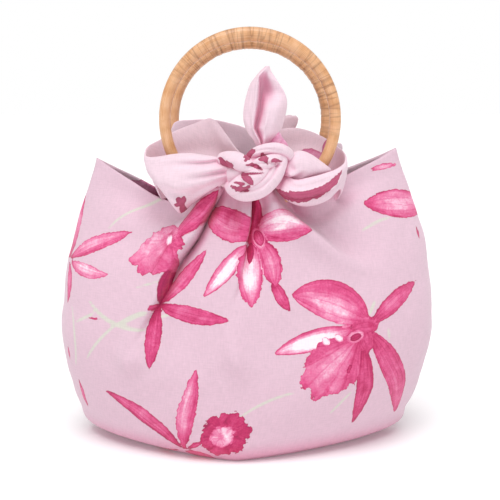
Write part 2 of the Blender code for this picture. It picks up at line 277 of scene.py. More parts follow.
def gridNormals(grid, wrap):
    # unit normals of a grid of points, rows by columns
    if wrap:
        across = np.roll(grid, -1, axis=1) - np.roll(grid, 1, axis=1)
    else:
        across = np.gradient(grid, axis=1)
    return unit(np.cross(across, np.gradient(grid, axis=0)))


def bandFaces(low, high, count):
    # faces between two closed rows of points, from the index of each row's first point
    faces = []
    for place in range(count):
        nearby = (place + 1) % count
        faces.append((low + place, low + nearby, high + nearby, high + place))
    return faces


clothLook = {
    "face": "#DDBDCC",  # pale orchid pink, the printed side
    "wrongSide": "#ECD1DD",  # the print shows through more weakly here
    "stem": "#CFDDC4",
    "stemStrength": 0.6,
    "inks": (
        (0.0, "#A01E52"), (0.22, "#C02862"), (0.46, "#DB5389"), (0.7, "#E986AE"), (0.87, "#F4BFD6"), (1.0, "#FCEAF2"),
    ),
    "throughInks": ((0.0, "#A03058"), (0.3, "#B6466E"), (0.6, "#CB6C95"), (0.85, "#DF9BBC"), (1.0, "#EBC4D6")),
    "thread": 0.0011,  # real threads are 0.4 mm apart, too fine to show, so drawn nearly three times as coarse
    "slub": 0.007,  # length of a thick place in a thread
    "blot": 0.010,  # how far the wash spreads as it dries
    "grain": 0.0016,  # granules of pigment in the wash
    "outline": 0.0012,  # ink that dried along a petal's edge
    "ruffle": 0.0060,  # how far a frilled edge wanders
    "frills": 240.0,  # frills to a metre of edge
    "edge": 0.00022,  # how sharply the ink ends
    "paintedShadeReach": 0.03,  # a fold narrower than this gets painted shade
    "paintedShadeOpen": 0.86,  # a place as open as this gets no painted shade
    "paintedShadeClosed": 0.2,  # and one as closed as this has all of it
    "paintedFoldShade": (0.95, 0.60, 0.72),  # painted shade: the deeper pink multiplied into the colour inside a fold
}


def inkLayers(tree, uv):
    # each layer covers the one below it, inside its own ruffled edge
    edgeNoise = addNode(
        tree, "ShaderNodeTexNoise", {"Vector": uv, "Scale": clothLook["frills"], "Detail": 2.0}
    ).outputs["Fac"]
    ink, shape, inkLook = None, None, None
    for layer in printLayers:
        shapeOut = addNode(tree, "ShaderNodeAttribute", attribute_name=layer + "Shape").outputs["Vector"]
        lookOut = addNode(tree, "ShaderNodeAttribute", attribute_name=layer + "Look").outputs["Vector"]
        outside, along, across = addNode(tree, "ShaderNodeSeparateXYZ", {0: shapeOut}).outputs
        ruffle = addNode(tree, "ShaderNodeSeparateXYZ", {0: lookOut}).outputs[2]
        frill = addNode(
            tree, "ShaderNodeMapRange",
            {"Value": edgeNoise, "To Min": -clothLook["ruffle"], "To Max": clothLook["ruffle"]},
            clamp=False,
        ).outputs[0]
        outside = addNode(
            tree, "ShaderNodeMath", {0: frill, 1: ruffle, 2: outside}, operation="MULTIPLY_ADD"
        ).outputs[0]
        mask = addNode(
            tree, "ShaderNodeMapRange",
            {"Value": outside, "From Min": clothLook["edge"], "From Max": -clothLook["edge"]},
        ).outputs["Result"]
        moved = addNode(tree, "ShaderNodeCombineXYZ", {0: outside, 1: along, 2: across}).outputs[0]
        if ink is None:
            ink, shape, inkLook = mask, moved, lookOut
            continue
        ink = addNode(tree, "ShaderNodeMath", {0: ink, 1: mask}, operation="MAXIMUM").outputs[0]
        shape = addNode(tree, "ShaderNodeMix", {0: mask, 4: shape, 5: moved}, data_type="VECTOR").outputs[1]
        inkLook = addNode(tree, "ShaderNodeMix", {0: mask, 4: inkLook, 5: lookOut}, data_type="VECTOR").outputs[1]
    return ink, shape, inkLook


def washColour(tree, uv, shape, inkLook, inks):
    outside, along, across = addNode(tree, "ShaderNodeSeparateXYZ", {0: shape}).outputs
    tone, white, _ = addNode(tree, "ShaderNodeSeparateXYZ", {0: inkLook}).outputs

    # brush streaks and fine veins run along a petal
    streakAt = addNode(tree, "ShaderNodeCombineXYZ", {0: across, 1: along, 2: tone}).outputs[0]
    streakAt = addNode(tree, "ShaderNodeMapping", {"Vector": streakAt, "Scale": (2.4, 1.6, 31.0)}).outputs[0]
    streak = addNode(
        tree, "ShaderNodeTexNoise", {"Vector": streakAt, "Scale": 1.5, "Detail": 4.0, "Distortion": 0.6}
    ).outputs["Fac"]
    veinAt = addNode(tree, "ShaderNodeMath", {0: streak, 1: 7.0}, operation="MULTIPLY").outputs[0]
    veinAt = addNode(tree, "ShaderNodeMath", {0: across, 1: 13.0, 2: veinAt}, operation="MULTIPLY_ADD").outputs[0]
    vein = addNode(tree, "ShaderNodeMath", {0: veinAt}, operation="SINE").outputs[0]
    vein = addNode(tree, "ShaderNodeMapRange", {"Value": vein, "From Min": 0.75, "From Max": 1.0}).outputs["Result"]
    # the wash pools unevenly, in blots and in grains
    pool = addNode(
        tree, "ShaderNodeTexNoise", {"Vector": uv, "Scale": 1 / clothLook["blot"], "Detail": 2.0, "Distortion": 0.8}
    ).outputs["Fac"]
    grain = addNode(
        tree, "ShaderNodeTexNoise", {"Vector": uv, "Scale": 1 / clothLook["grain"], "Detail": 2.0}
    ).outputs["Fac"]
    rim = addNode(
        tree, "ShaderNodeMapRange", {"Value": outside, "From Min": -clothLook["outline"], "From Max": -0.0001}
    ).outputs["Result"]
    root = addNode(tree, "ShaderNodeMapRange", {"Value": along, "From Min": 0.3, "From Max": 0.0}).outputs["Result"]
    # the pale middle of a petal
    middle = addNode(tree, "ShaderNodeMath", {0: across, 1: across}, operation="MULTIPLY").outputs[0]
    middle = addNode(
        tree, "ShaderNodeMapRange", {"Value": middle, "From Min": 0.75, "From Max": 0.0}
    ).outputs["Result"]
    lengthways = addNode(tree, "ShaderNodeMath", {0: along, 1: math.pi}, operation="MULTIPLY").outputs[0]
    lengthways = addNode(tree, "ShaderNodeMath", {0: lengthways}, operation="SINE").outputs[0]
    bleach = addNode(tree, "ShaderNodeMath", {0: middle, 1: white}, operation="MULTIPLY").outputs[0]
    bleach = addNode(tree, "ShaderNodeMath", {0: bleach, 1: lengthways}, operation="MULTIPLY").outputs[0]
    value = addNode(tree, "ShaderNodeMath", {0: tone, 1: 0.6}, operation="SUBTRACT").outputs[0]
    effects = ((streak, 0.45), (pool, 0.5), (grain, 0.25), (vein, -0.10), (rim, -0.20), (root, -0.16), (bleach, 0.75))
    for effect, weight in effects:
        value = addNode(tree, "ShaderNodeMath", {0: effect, 1: weight, 2: value}, operation="MULTIPLY_ADD").outputs[0]
    petals = addNode(tree, "ShaderNodeValToRGB", {"Fac": value})
    setRamp(petals, inks)
    return petals.outputs["Color"]


def cottonMaterial(name, groundCode, inks, strength):
    # plain-weave printed cotton: matt, a soft fuzz at grazing light, small slubs both ways, watercolour ink, and
    # painted shade in its folds
    look = bpy.data.materials.new(name)
    look.use_nodes = True
    tree = look.node_tree
    shader = tree.nodes["Principled BSDF"]
    shader.inputs["Roughness"].default_value = 0.8
    shader.inputs["Sheen Weight"].default_value = 0.25
    shader.inputs["Sheen Roughness"].default_value = 0.5
    shader.inputs["Specular IOR Level"].default_value = 0.35
    uv = addNode(tree, "ShaderNodeUVMap", uv_map="cut").outputs["UV"]
    thread, slub = 1 / clothLook["thread"], 1 / clothLook["slub"]
    threads = []
    for scale in ((thread, slub, 1.0), (slub, thread, 1.0)):
        placed = addNode(tree, "ShaderNodeMapping", {"Vector": uv, "Scale": scale}).outputs["Vector"]
        noise = addNode(tree, "ShaderNodeTexNoise", {"Vector": placed, "Scale": 1.0, "Detail": 1.0})
        threads.append(noise.outputs["Fac"])
    weave = addNode(tree, "ShaderNodeMath", {0: threads[0], 1: threads[1]}, operation="ADD").outputs[0]

    ink, shape, inkLook = inkLayers(tree, uv)
    petals = washColour(tree, uv, shape, inkLook, inks)

    stemGap = addNode(tree, "ShaderNodeAttribute", attribute_name="stemGap").outputs["Fac"]
    stem = addNode(
        tree, "ShaderNodeMapRange",
        {"Value": stemGap, "From Min": 0.0005, "From Max": -0.0006, "To Max": clothLook["stemStrength"] * strength},
    ).outputs["Result"]
    ground = addNode(
        tree, "ShaderNodeMix", {0: stem, 6: linear(groundCode), 7: linear(clothLook["stem"])}, data_type="RGBA"
    ).outputs[2]
    ink = addNode(tree, "ShaderNodeMath", {0: ink, 1: strength}, operation="MULTIPLY").outputs[0]
    dyed = addNode(tree, "ShaderNodeMix", {0: ink, 6: ground, 7: petals}, data_type="RGBA").outputs[2]
    shade = addNode(
        tree, "ShaderNodeMapRange", {"Value": weave, "From Min": 0.7, "From Max": 1.3, "To Min": 0.95, "To Max": 1.04}
    ).outputs["Result"]
    shaded = addNode(tree, "ShaderNodeVectorMath", {0: dyed, "Scale": shade}, operation="SCALE").outputs[0]
    # painted shade: the colour turns a deeper pink where ambient occlusion finds the cloth closed in by a fold
    openness = addNode(
        tree, "ShaderNodeAmbientOcclusion", {"Distance": clothLook["paintedShadeReach"]}, samples=12
    ).outputs["AO"]
    paintedShadeShare = addNode(
        tree, "ShaderNodeMapRange",
        {"Value": openness, "From Min": clothLook["paintedShadeOpen"], "From Max": clothLook["paintedShadeClosed"]},
    ).outputs["Result"]
    paintedShadeTint = addNode(
        tree, "ShaderNodeMix", {0: paintedShadeShare, 6: (1, 1, 1, 1), 7: (*clothLook["paintedFoldShade"], 1)}, data_type="RGBA"
    ).outputs[2]
    # the painted fold shade is multiplied into the base colour here
    folded = addNode(tree, "ShaderNodeVectorMath", {0: shaded, 1: paintedShadeTint}, operation="MULTIPLY").outputs[0]
    tree.links.new(folded, shader.inputs["Base Color"])
    bump = addNode(tree, "ShaderNodeBump", {"Height": weave, "Strength": 0.3, "Distance": 0.0003})
    tree.links.new(bump.outputs["Normal"], shader.inputs["Normal"])
    return look


printedSide = cottonMaterial("printed cotton", clothLook["face"], clothLook["inks"], 1.0)
wrongSide = cottonMaterial("printed cotton wrong side", clothLook["wrongSide"], clothLook["throughInks"], 0.95)
print("cotton mixed")

ringLook = {
    "reach": 0.075,  # outside radius
    "centre": 0.2835,  # height of the middle
    "spread": 0.045,  # each ring from the middle of the bag
    "thin": 0.0048,
    "thick": 0.0060,
    "stations": 360,
    "sides": 24,
    "crackedMiddle": 70,  # the cane is finely wrinkled each way from here, in degrees
    "cracked": 90,
    "crackedFade": 25,  # degrees over which the fine wrinkles die away
    "grooveDepth": 0.055,  # a dent this deep, as a share of the tube's radius, is at its darkest
    "tans": ((0.32, "#CB8C5A"), (0.44, "#DDA473"), (0.55, "#E7B387"), (0.72, "#F0C39D")),
    "groove": "#7A4422",
}


def caneMaterial():
    # peeled, varnished rattan cane: warm tan with long fibres, crosswise bending wrinkles and a satin coat
    look = bpy.data.materials.new("natural cane")
    look.use_nodes = True
    tree = look.node_tree
    shader = tree.nodes["Principled BSDF"]
    shader.inputs["Roughness"].default_value = 0.42
    shader.inputs["Coat Weight"].default_value = 0.25
    shader.inputs["Coat Roughness"].default_value = 0.3
    uv = addNode(tree, "ShaderNodeUVMap", uv_map="UVMap").outputs["UV"]
    fibreAt = addNode(tree, "ShaderNodeMapping", {"Vector": uv, "Scale": (14.0, 60.0, 1.0)}).outputs[0]
    fibre = addNode(tree, "ShaderNodeTexNoise", {"Vector": fibreAt, "Scale": 1.0, "Detail": 3.0}).outputs["Fac"]
    patchAt = addNode(tree, "ShaderNodeMapping", {"Vector": uv, "Scale": (46.0, 4.0, 1.0)}).outputs[0]
    patch = addNode(tree, "ShaderNodeTexNoise", {"Vector": patchAt, "Scale": 1.0, "Detail": 4.0}).outputs["Fac"]
    mottle = addNode(tree, "ShaderNodeMath", {0: fibre, 1: 0.5, 2: 0.0}, operation="MULTIPLY_ADD").outputs[0]
    mottle = addNode(tree, "ShaderNodeMath", {0: patch, 1: 0.5, 2: mottle}, operation="MULTIPLY_ADD").outputs[0]
    tan = addNode(tree, "ShaderNodeValToRGB", {"Fac": mottle})
    setRamp(tan, ringLook["tans"])
    groove = addNode(tree, "ShaderNodeAttribute", attribute_name="groove").outputs["Fac"]
    lines = addNode(tree, "ShaderNodeMapRange", {"Value": groove, "From Min": 0.1, "To Max": 0.4}).outputs[0]
    cracked = addNode(tree, "ShaderNodeAttribute", attribute_name="cracked").outputs["Fac"]
    crackAt = addNode(tree, "ShaderNodeMapping", {"Vector": uv, "Scale": (95.0, 0.7, 1.0)}).outputs[0]
    crack = addNode(
        tree, "ShaderNodeTexNoise", {"Vector": crackAt, "Scale": 1.0, "Detail": 1.0, "Distortion": 0.3}
    ).outputs["Fac"]
    crack = addNode(tree, "ShaderNodeMath", {0: crack, 1: 0.5}, operation="SUBTRACT").outputs[0]
    crack = addNode(tree, "ShaderNodeMath", {0: crack}, operation="ABSOLUTE").outputs[0]
    crack = addNode(tree, "ShaderNodeMapRange", {"Value": crack, "From Min": 0.06, "From Max": 0.0}).outputs["Result"]
    crack = addNode(tree, "ShaderNodeMath", {0: crack, 1: cracked}, operation="MULTIPLY").outputs[0]
    lines = addNode(tree, "ShaderNodeMath", {0: crack, 1: 0.42, 2: lines}, operation="MULTIPLY_ADD").outputs[0]
    colour = addNode(
        tree, "ShaderNodeMix", {0: lines, 6: tan.outputs["Color"], 7: linear(ringLook["groove"])}, data_type="RGBA"
    ).outputs[2]
    tree.links.new(colour, shader.inputs["Base Color"])
    mottle = addNode(tree, "ShaderNodeMath", {0: crack, 1: -0.6, 2: mottle}, operation="MULTIPLY_ADD").outputs[0]
    bump = addNode(tree, "ShaderNodeBump", {"Height": mottle, "Strength": 0.5, "Distance": 0.0005})
    tree.links.new(bump.outputs["Normal"], shader.inputs["Normal"])
    return look


cane = caneMaterial()


def caneRing(name, y, wrinkledFrom, wrinkledTo, spacing, marks, seed):
    source = random.Random(seed)
    bpy.ops.object.select_all(action="DESELECT")
    middle = ringLook["reach"] - ringLook["thin"]
    place = Vector((bagShift, y, ringLook["centre"]))
    bpy.ops.mesh.primitive_torus_add(
        location=place, rotation=(math.pi / 2, 0, 0), major_radius=middle, minor_radius=ringLook["thin"],
        major_segments=ringLook["stations"], minor_segments=ringLook["sides"],
    )
    ring = bpy.context.object
    ring.name = ring.data.name = name
    bpy.ops.object.transform_apply(location=True, rotation=True, scale=True)

    # wrinkles: angle, depth, width, each a share of the tube's radius or a number of degrees
    wrinkles = []
    angle = wrinkledFrom
    while angle < wrinkledTo:
        wrinkles.append((angle, source.uniform(0.02, 0.06), source.uniform(0.5, 0.9)))
        angle += spacing * source.uniform(0.6, 1.5)
    wrinkles += marks

    bpy.ops.object.mode_set(mode="EDIT")
    edit = bmesh.from_edit_mesh(ring.data)
    bpy.context.tool_settings.mesh_select_mode = (True, False, False)
    groove = edit.verts.layers.float.new("groove")
    cracked = edit.verts.layers.float.new("cracked")
    stations = {}
    for vertex in edit.verts:
        turn = math.degrees(math.atan2(vertex.co.z - place.z, vertex.co.x - place.x)) % 360
        stations.setdefault(round(turn * ringLook["stations"] / 360) % ringLook["stations"], []).append(vertex)
    for station, loop in sorted(stations.items()):
        turn = station * 360 / ringLook["stations"]
        rise = max(0.0, math.sin(math.radians(turn))) ** 2
        size = 1 + (ringLook["thick"] / ringLook["thin"] - 1) * rise
        outward = Vector((math.cos(math.radians(turn)), 0, math.sin(math.radians(turn))))
        away = abs((turn - ringLook["crackedMiddle"] + 180) % 360 - 180)
        share = max(0.0, min(1.0, (ringLook["cracked"] - away) / ringLook["crackedFade"]))
        dent = 0.0
        for at, depth, width in wrinkles:
            gap = (turn - at + 180) % 360 - 180
            dent += depth * math.exp(-((gap / width) ** 2))
        size *= 1 - dent + source.uniform(-0.004, 0.004)
        for vertex in edit.verts:
            vertex.select = False
        for vertex in loop:
            vertex.select = True
            vertex[groove] = min(1.0, dent / ringLook["grooveDepth"])
            vertex[cracked] = share
        bmesh.update_edit_mesh(ring.data)
        if abs(size - 1) > 0.001:
            bpy.ops.transform.resize(value=(size, size, size), center_override=place + outward * ringLook["reach"])
        edit = bmesh.from_edit_mesh(ring.data)
        groove = edit.verts.layers.float["groove"]
        cracked = edit.verts.layers.float["cracked"]
    bpy.ops.object.mode_set(mode="OBJECT")
    bpy.ops.object.shade_smooth()
    ring.data.materials.clear()
    ring.data.materials.append(cane)
    return ring


frontRing = caneRing("cane_ring_front", -ringLook["spread"], 18, 148, 6.0, [(50.0, 0.14, 0.5), (28.0, 0.09, 0.8)], 3)
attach(frontRing, "root")
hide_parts("ring_front")
backRing = caneRing("cane_ring_back", ringLook["spread"], -28, 128, 4.0, [(-14.0, 0.09, 0.7)], 8)
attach(backRing, "root")
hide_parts("ring_back")
print("rings bent")

bag = {
    "levels": (  # height, left, right, front, back, squareness
        (0.000, 0.1240, 0.1170, 0.0735, 0.0735, 1.30),
        (0.006, 0.1405, 0.1310, 0.0795, 0.0795, 1.40),
        (0.028, 0.1555, 0.1440, 0.0860, 0.0860, 1.70),
        (0.062, 0.1640, 0.1560, 0.0890, 0.0890, 2.00),
        (0.094, 0.1690, 0.1620, 0.0885, 0.0885, 2.10),
        (0.131, 0.1665, 0.1620, 0.0845, 0.0845, 2.00),
        (0.155, 0.1630, 0.1595, 0.0790, 0.0790, 1.85),
    ),
    "leftRim": (  # turn, x, depth, height, from the ear to the gather
        (0.00, -0.1345, 0.000, 0.2500),
        (0.12, -0.1200, 0.010, 0.2415),
        (0.25, -0.1020, 0.021, 0.2315),
        (0.38, -0.0800, 0.033, 0.2200),
        (0.49, -0.0570, 0.046, 0.2155),
        (0.56, -0.0450, 0.054, 0.2215),
        (0.63, -0.0350, 0.057, 0.2270),
        (0.80, -0.0180, 0.059, 0.2325),
        (1.00, 0.0000, 0.060, 0.2335),
    ),
    "rightRim": (
        (0.00, 0.1280, 0.000, 0.2590),
        (0.12, 0.1140, 0.010, 0.2515),
        (0.25, 0.0980, 0.020, 0.2440),
        (0.38, 0.0780, 0.031, 0.2350),
        (0.49, 0.0570, 0.045, 0.2245),
        (0.56, 0.0460, 0.053, 0.2240),
        (0.63, 0.0360, 0.057, 0.2275),
        (0.80, 0.0180, 0.059, 0.2325),
        (1.00, 0.0000, 0.060, 0.2335),
    ),
    "frontCorner": -0.012,  # the base's front corner is this far left of the middle
    "columns": {-1: 132, 1: 76},  # in each quarter of the front and of the back
    "wallRows": 66,  # up to the last level
    "shoulderRows": 44,  # from there to the rim
    "baseRows": (0.93, 0.8, 0.6, 0.35, 0.12),  # how far out from the middle of the base
    "baseCut": 0.08,  # the print's length from the base's edge to its middle
    "thickness": 0.0010,
    "calm": 0.02,  # the ripples die out over this height above the floor
    "ripples": ((0.0011, 0.055, 5), (0.0004, 0.018, 6)),  # height, length, seed
}

# folds, in millimetres. A soft one: left width, right width, then x, z and height of points down the fold.
# A tuck: left width, width of its valley, depth of the valley as a share of the height, then the points.
frontFolds = (
    ("tuck", 12, 6.5, 0.95, (
        (-25.5, 230, 7), (-33.5, 218.4, 10), (-40.8, 206.9, 11.5), (-47.4, 193.1, 12.5), (-56.4, 180.9, 12.5),
        (-65, 168.6, 11), (-73.7, 146, 7), (-84, 128, 4), (-92.1, 112.8, 1.6), (-100.8, 95.7, 0),
    )),
    ("tuck", 9, 4.8, 0.95, (
        (-1.4, 223, 5), (-2, 211.4, 6.5), (-3.2, 197.1, 6.5), (-5.7, 185.2, 5), (-6.5, 171.6, 3.4),
        (-11.3, 150.2, 1.4), (-15.3, 136, 0),
    )),
    ("soft", 10.5, 4.8, (
        (13, 230, 7), (23.5, 216.5, 11), (36.5, 203.5, 11.5), (54.5, 187.2, 9.5), (71, 174, 6.5), (95, 156.5, 0),
    )),
    ("soft", 8, 15, ((25, 227, -5), (41, 212, -11), (64, 196.5, -12), (86, 180, -8.5), (115, 166, 0))),
    ("soft", 9, 11, (
        (30, 215, -7), (50, 211, -10), (70, 214, -10), (90.9, 227.4, -8), (115, 237, -3), (135, 243, 0),
    )),
    ("soft", 6, 6, ((-28, 227.5, -2), (-38.4, 221.5, -4.5), (-49.2, 214.5, -5), (-59.2, 209, -3.5))),
    ("soft", 10, 11, (
        (-56, 211, -6), (-70.2, 208.4, -10.5), (-83.1, 211.9, -10), (-100.9, 216.8, -7.5), (-119.7, 224, -4),
        (-138, 230, 0),
    )),
    ("soft", 10, 14, ((-62, 201, 0), (-85, 190, -4.5), (-110, 182, -5), (-140, 178, 0))),
    ("soft", 6, 6, ((-13, 228, -3), (-14, 208, -5), (-17, 184, 0))),
    ("soft", 3, 4, ((7.5, 229, -5), (9.5, 220, -6), (10.3, 214.1, -6), (6.2, 201.2, -4.5), (4, 185, 0))),
    ("soft", 10, 12, ((-95, 113, 0), (-98.2, 97.5, 5), (-100.2, 86.4, 7.5), (-98.9, 73.5, 0))),
    ("soft", 9, 9, ((-15, 128, 0), (-14.6, 104.9, 4.2), (-11.3, 91.1, 6.5), (-8.1, 77.7, 2), (-8, 69, 0))),
    ("soft", 14, 18, ((-50, 150, 0), (-56, 115, -5), (-50, 70, 0))),
    ("soft", 20, 20, ((30, 160, 0), (34, 115, -3), (30, 70, 0))),
)
# the back panel is tied in the same way, seen here from behind
backFolds = (
    ("tuck", 14, 9, 0.7, ((-23, 229, 4), (-34, 207, 7), (-50, 180, 7), (-64, 150, 0))),
    ("tuck", 10, 7, 0.6, ((6, 224, 4), (10, 198, 5.5), (13, 170, 3.5), (15, 135, 0))),
    ("soft", 10, 10, ((22, 228, 4), (36, 208, 5), (56, 184, 0))),
    ("soft", 10, 14, ((33, 219, -5), (50, 199, -6), (74, 170, 0))),
    ("soft", 8, 8, ((-10, 228, -3.5), (-12, 206, -4), (-17, 170, 0))),
    ("soft", 12, 14, ((-44, 209, -3), (-70, 210, -4), (-110, 224, 0))),
    ("soft", 12, 14, ((44, 215, -3), (70, 216, -4), (110, 229, 0))),
    ("soft", 22, 22, ((60, 125, 0), (65, 95, 3.5), (60, 65, 0))),
    ("soft", 18, 18, ((-20, 135, 0), (-25, 100, -3), (-20, 65, 0))),
)


def levelPoints(height, side, facing, turn):
    # one row of the bag's outline, with the ears at turn 0 and the gathers at turn 1
    left, right, front, back, square = readTable(bag["levels"], height)[0]
    across, along = np.cos(turn * math.pi / 2), np.sin(turn * math.pi / 2)
    wide = np.where(side > 0, right, left) * side
    deep = np.where(facing > 0, back, front) * facing
    lower = max(0.0, 1 - height / bag["levels"][3][0])
    x = wide * across ** (2 / square) + bag["frontCorner"] * lower * along**2
    return np.stack([x, deep * along ** (2 / square), np.full_like(x, height)], axis=1)


def columnPlaces():
    # side, facing and turn of every column, from the middle of the back past the left ear
    rows = []
    for side, facing in ((-1, 1), (-1, -1), (1, -1), (1, 1)):
        count = bag["columns"][facing]
        even = np.arange(count) / count
        rising = side * facing > 0
        share = even if rising else 1 - even
        turn = share + 0.3 * np.sin(np.pi * share) / np.pi  # closer together towards the gather
        rows.append(np.stack([np.full(count, side), np.full(count, facing), turn], axis=1))
    return np.concatenate(rows)


def hungCloth():
    # the cloth before its folds, row by row from the base up to the rim, with each column's side and turn
    side, facing, turn = columnPlaces().T
    heights = bag["levels"][-1][0] * np.linspace(0, 1, bag["wallRows"]) ** 1.12  # closer together near the base
    wall = np.stack([levelPoints(height, side, facing, turn) for height in heights])
    below = levelPoints(bag["levels"][-2][0], side, facing, turn)
    rim = np.where((side < 0)[:, None], readTable(bag["leftRim"], turn), readTable(bag["rightRim"], turn))
    rim[:, 1] *= facing
    start = wall[-1]
    leave = unit(start - below) * np.linalg.norm(rim - start, axis=1, keepdims=True)
    steps = np.linspace(0, 1, bag["shoulderRows"] + 1)[1:]
    shoulder = np.stack([curve(step, start, leave, rim, rim - start) for step in steps])
    return np.concatenate([wall, shoulder]), facing, turn


def lengthsRound(grid):
    # distance round the bag from the middle of the front, and from the middle of the back
    frontMiddle = bag["columns"][1] + bag["columns"][-1]
    steps = np.linalg.norm(np.diff(grid, axis=1, append=grid[:, :1]), axis=2)
    length = np.concatenate([np.zeros((len(grid), 1)), np.cumsum(steps, axis=1)[:, :-1]], axis=1)
    length -= length[:, frontMiddle:frontMiddle + 1]
    around = steps.sum(axis=1, keepdims=True)
    return length, np.where(length > 0, length - around / 2, length + around / 2) * -1


def foldedCloth(grid, facing, turn):
    # folds are placed on the undisturbed shape, and lift it along its normal
    normals = gridNormals(grid, True)
    x, y, z = grid[..., 0], grid[..., 1], grid[..., 2]
    front = np.broadcast_to(facing < 0, x.shape)
    frontLift = foldLift(x, z, frontFolds)
    backLift = foldLift(-x, z, backFolds)
    fade = np.sin(np.clip(turn * math.pi / 2, 0, math.pi / 2)) ** 0.5  # nothing at the ears
    lift = np.where(front, frontLift[0], backLift[0]) * fade
    slideX = np.where(front, frontLift[1], -backLift[1]) * fade
    slideZ = np.where(front, frontLift[2], backLift[2]) * fade
    offFloor = np.clip(z / bag["calm"], 0, 1)
    for height, length, seed in bag["ripples"]:
        lift = lift + ripple(x + y * 0.7, z, height, length, seed) * offFloor
    folded = grid + normals * lift[..., None]
    folded[..., 0] += slideX
    folded[..., 2] += slideZ
    folded[..., 2] = np.maximum(folded[..., 2], 0)
    return folded


def bagPrint(length, fromBack, height):
    u, uBack, v = length.ravel(), fromBack.ravel(), height.ravel()
    layers = emptyPrint(len(v))
    for flower in flowers.values():
        printPetals(layers, u, v, flower["petals"])
        printFans(layers, u, v, flower["fans"])
    for name, toU, toV, turn in backFlowers:
        petals, fans = carried(flowers[name], toU, toV, turn)
        printPetals(layers, uBack, v, petals)
        printFans(layers, uBack, v, fans)
    printStems(layers, u, v, frontStems)
    printStems(layers, uBack, v, backStems)
    return layers


def baseDisc(edge, length, first):
    # the base: rows that close in from its edge, numbered from first, to the point in its middle
    columns, centre = len(edge), edge.mean(axis=0)
    points, cut, faces = [], [], []
    outer = 0
    for share in bag["baseRows"]:
        inner = first + len(points)
        points += [centre + (point - centre) * share for point in edge]
        cut += [(place, (share - 1) * bag["baseCut"]) for place in length]
        for column in range(columns):
            nearby = (column + 1) % columns
            faces.append((outer + column, inner + column, inner + nearby, outer + nearby))
        outer = inner
    faces += [(outer + column, first + len(points), outer + (column + 1) % columns) for column in range(columns)]
    return np.array([*points, centre]), np.array([*cut, (0.0, -bag["baseCut"])]), faces


def bagBody():
    hung, facing, turn = hungCloth()
    length, fromBack = lengthsRound(hung)
    folded = foldedCloth(hung, facing, turn)
    rows, columns = hung.shape[:2]
    layers = bagPrint(length, fromBack, hung[..., 2])
    faces = []
    for row in range(rows - 1):
        faces += bandFaces(row * columns, (row + 1) * columns, columns)
    basePoints, baseCut, baseFaces = baseDisc(folded[0], length[0], rows * columns)
    points = np.concatenate([folded.reshape(-1, 3), basePoints])
    cut = np.concatenate([np.stack([length, folded[..., 2]], axis=2).reshape(-1, 2), baseCut])
    bare = emptyPrint(len(basePoints))
    layers = {name: np.concatenate([values, bare[name]]) for name, values in layers.items()}
    points[:, 0] += bagShift
    piece = clothObject("cloth_body", points, faces + baseFaces, cut, layers, (printedSide, wrongSide))
    bpy.context.view_layer.objects.active = piece
    thicken = piece.modifiers.new("thickness", "SOLIDIFY")
    thicken.thickness = bag["thickness"]
    thicken.offset = -1.0
    thicken.material_offset = 1
    bpy.ops.object.modifier_apply(modifier="thickness")
    return piece


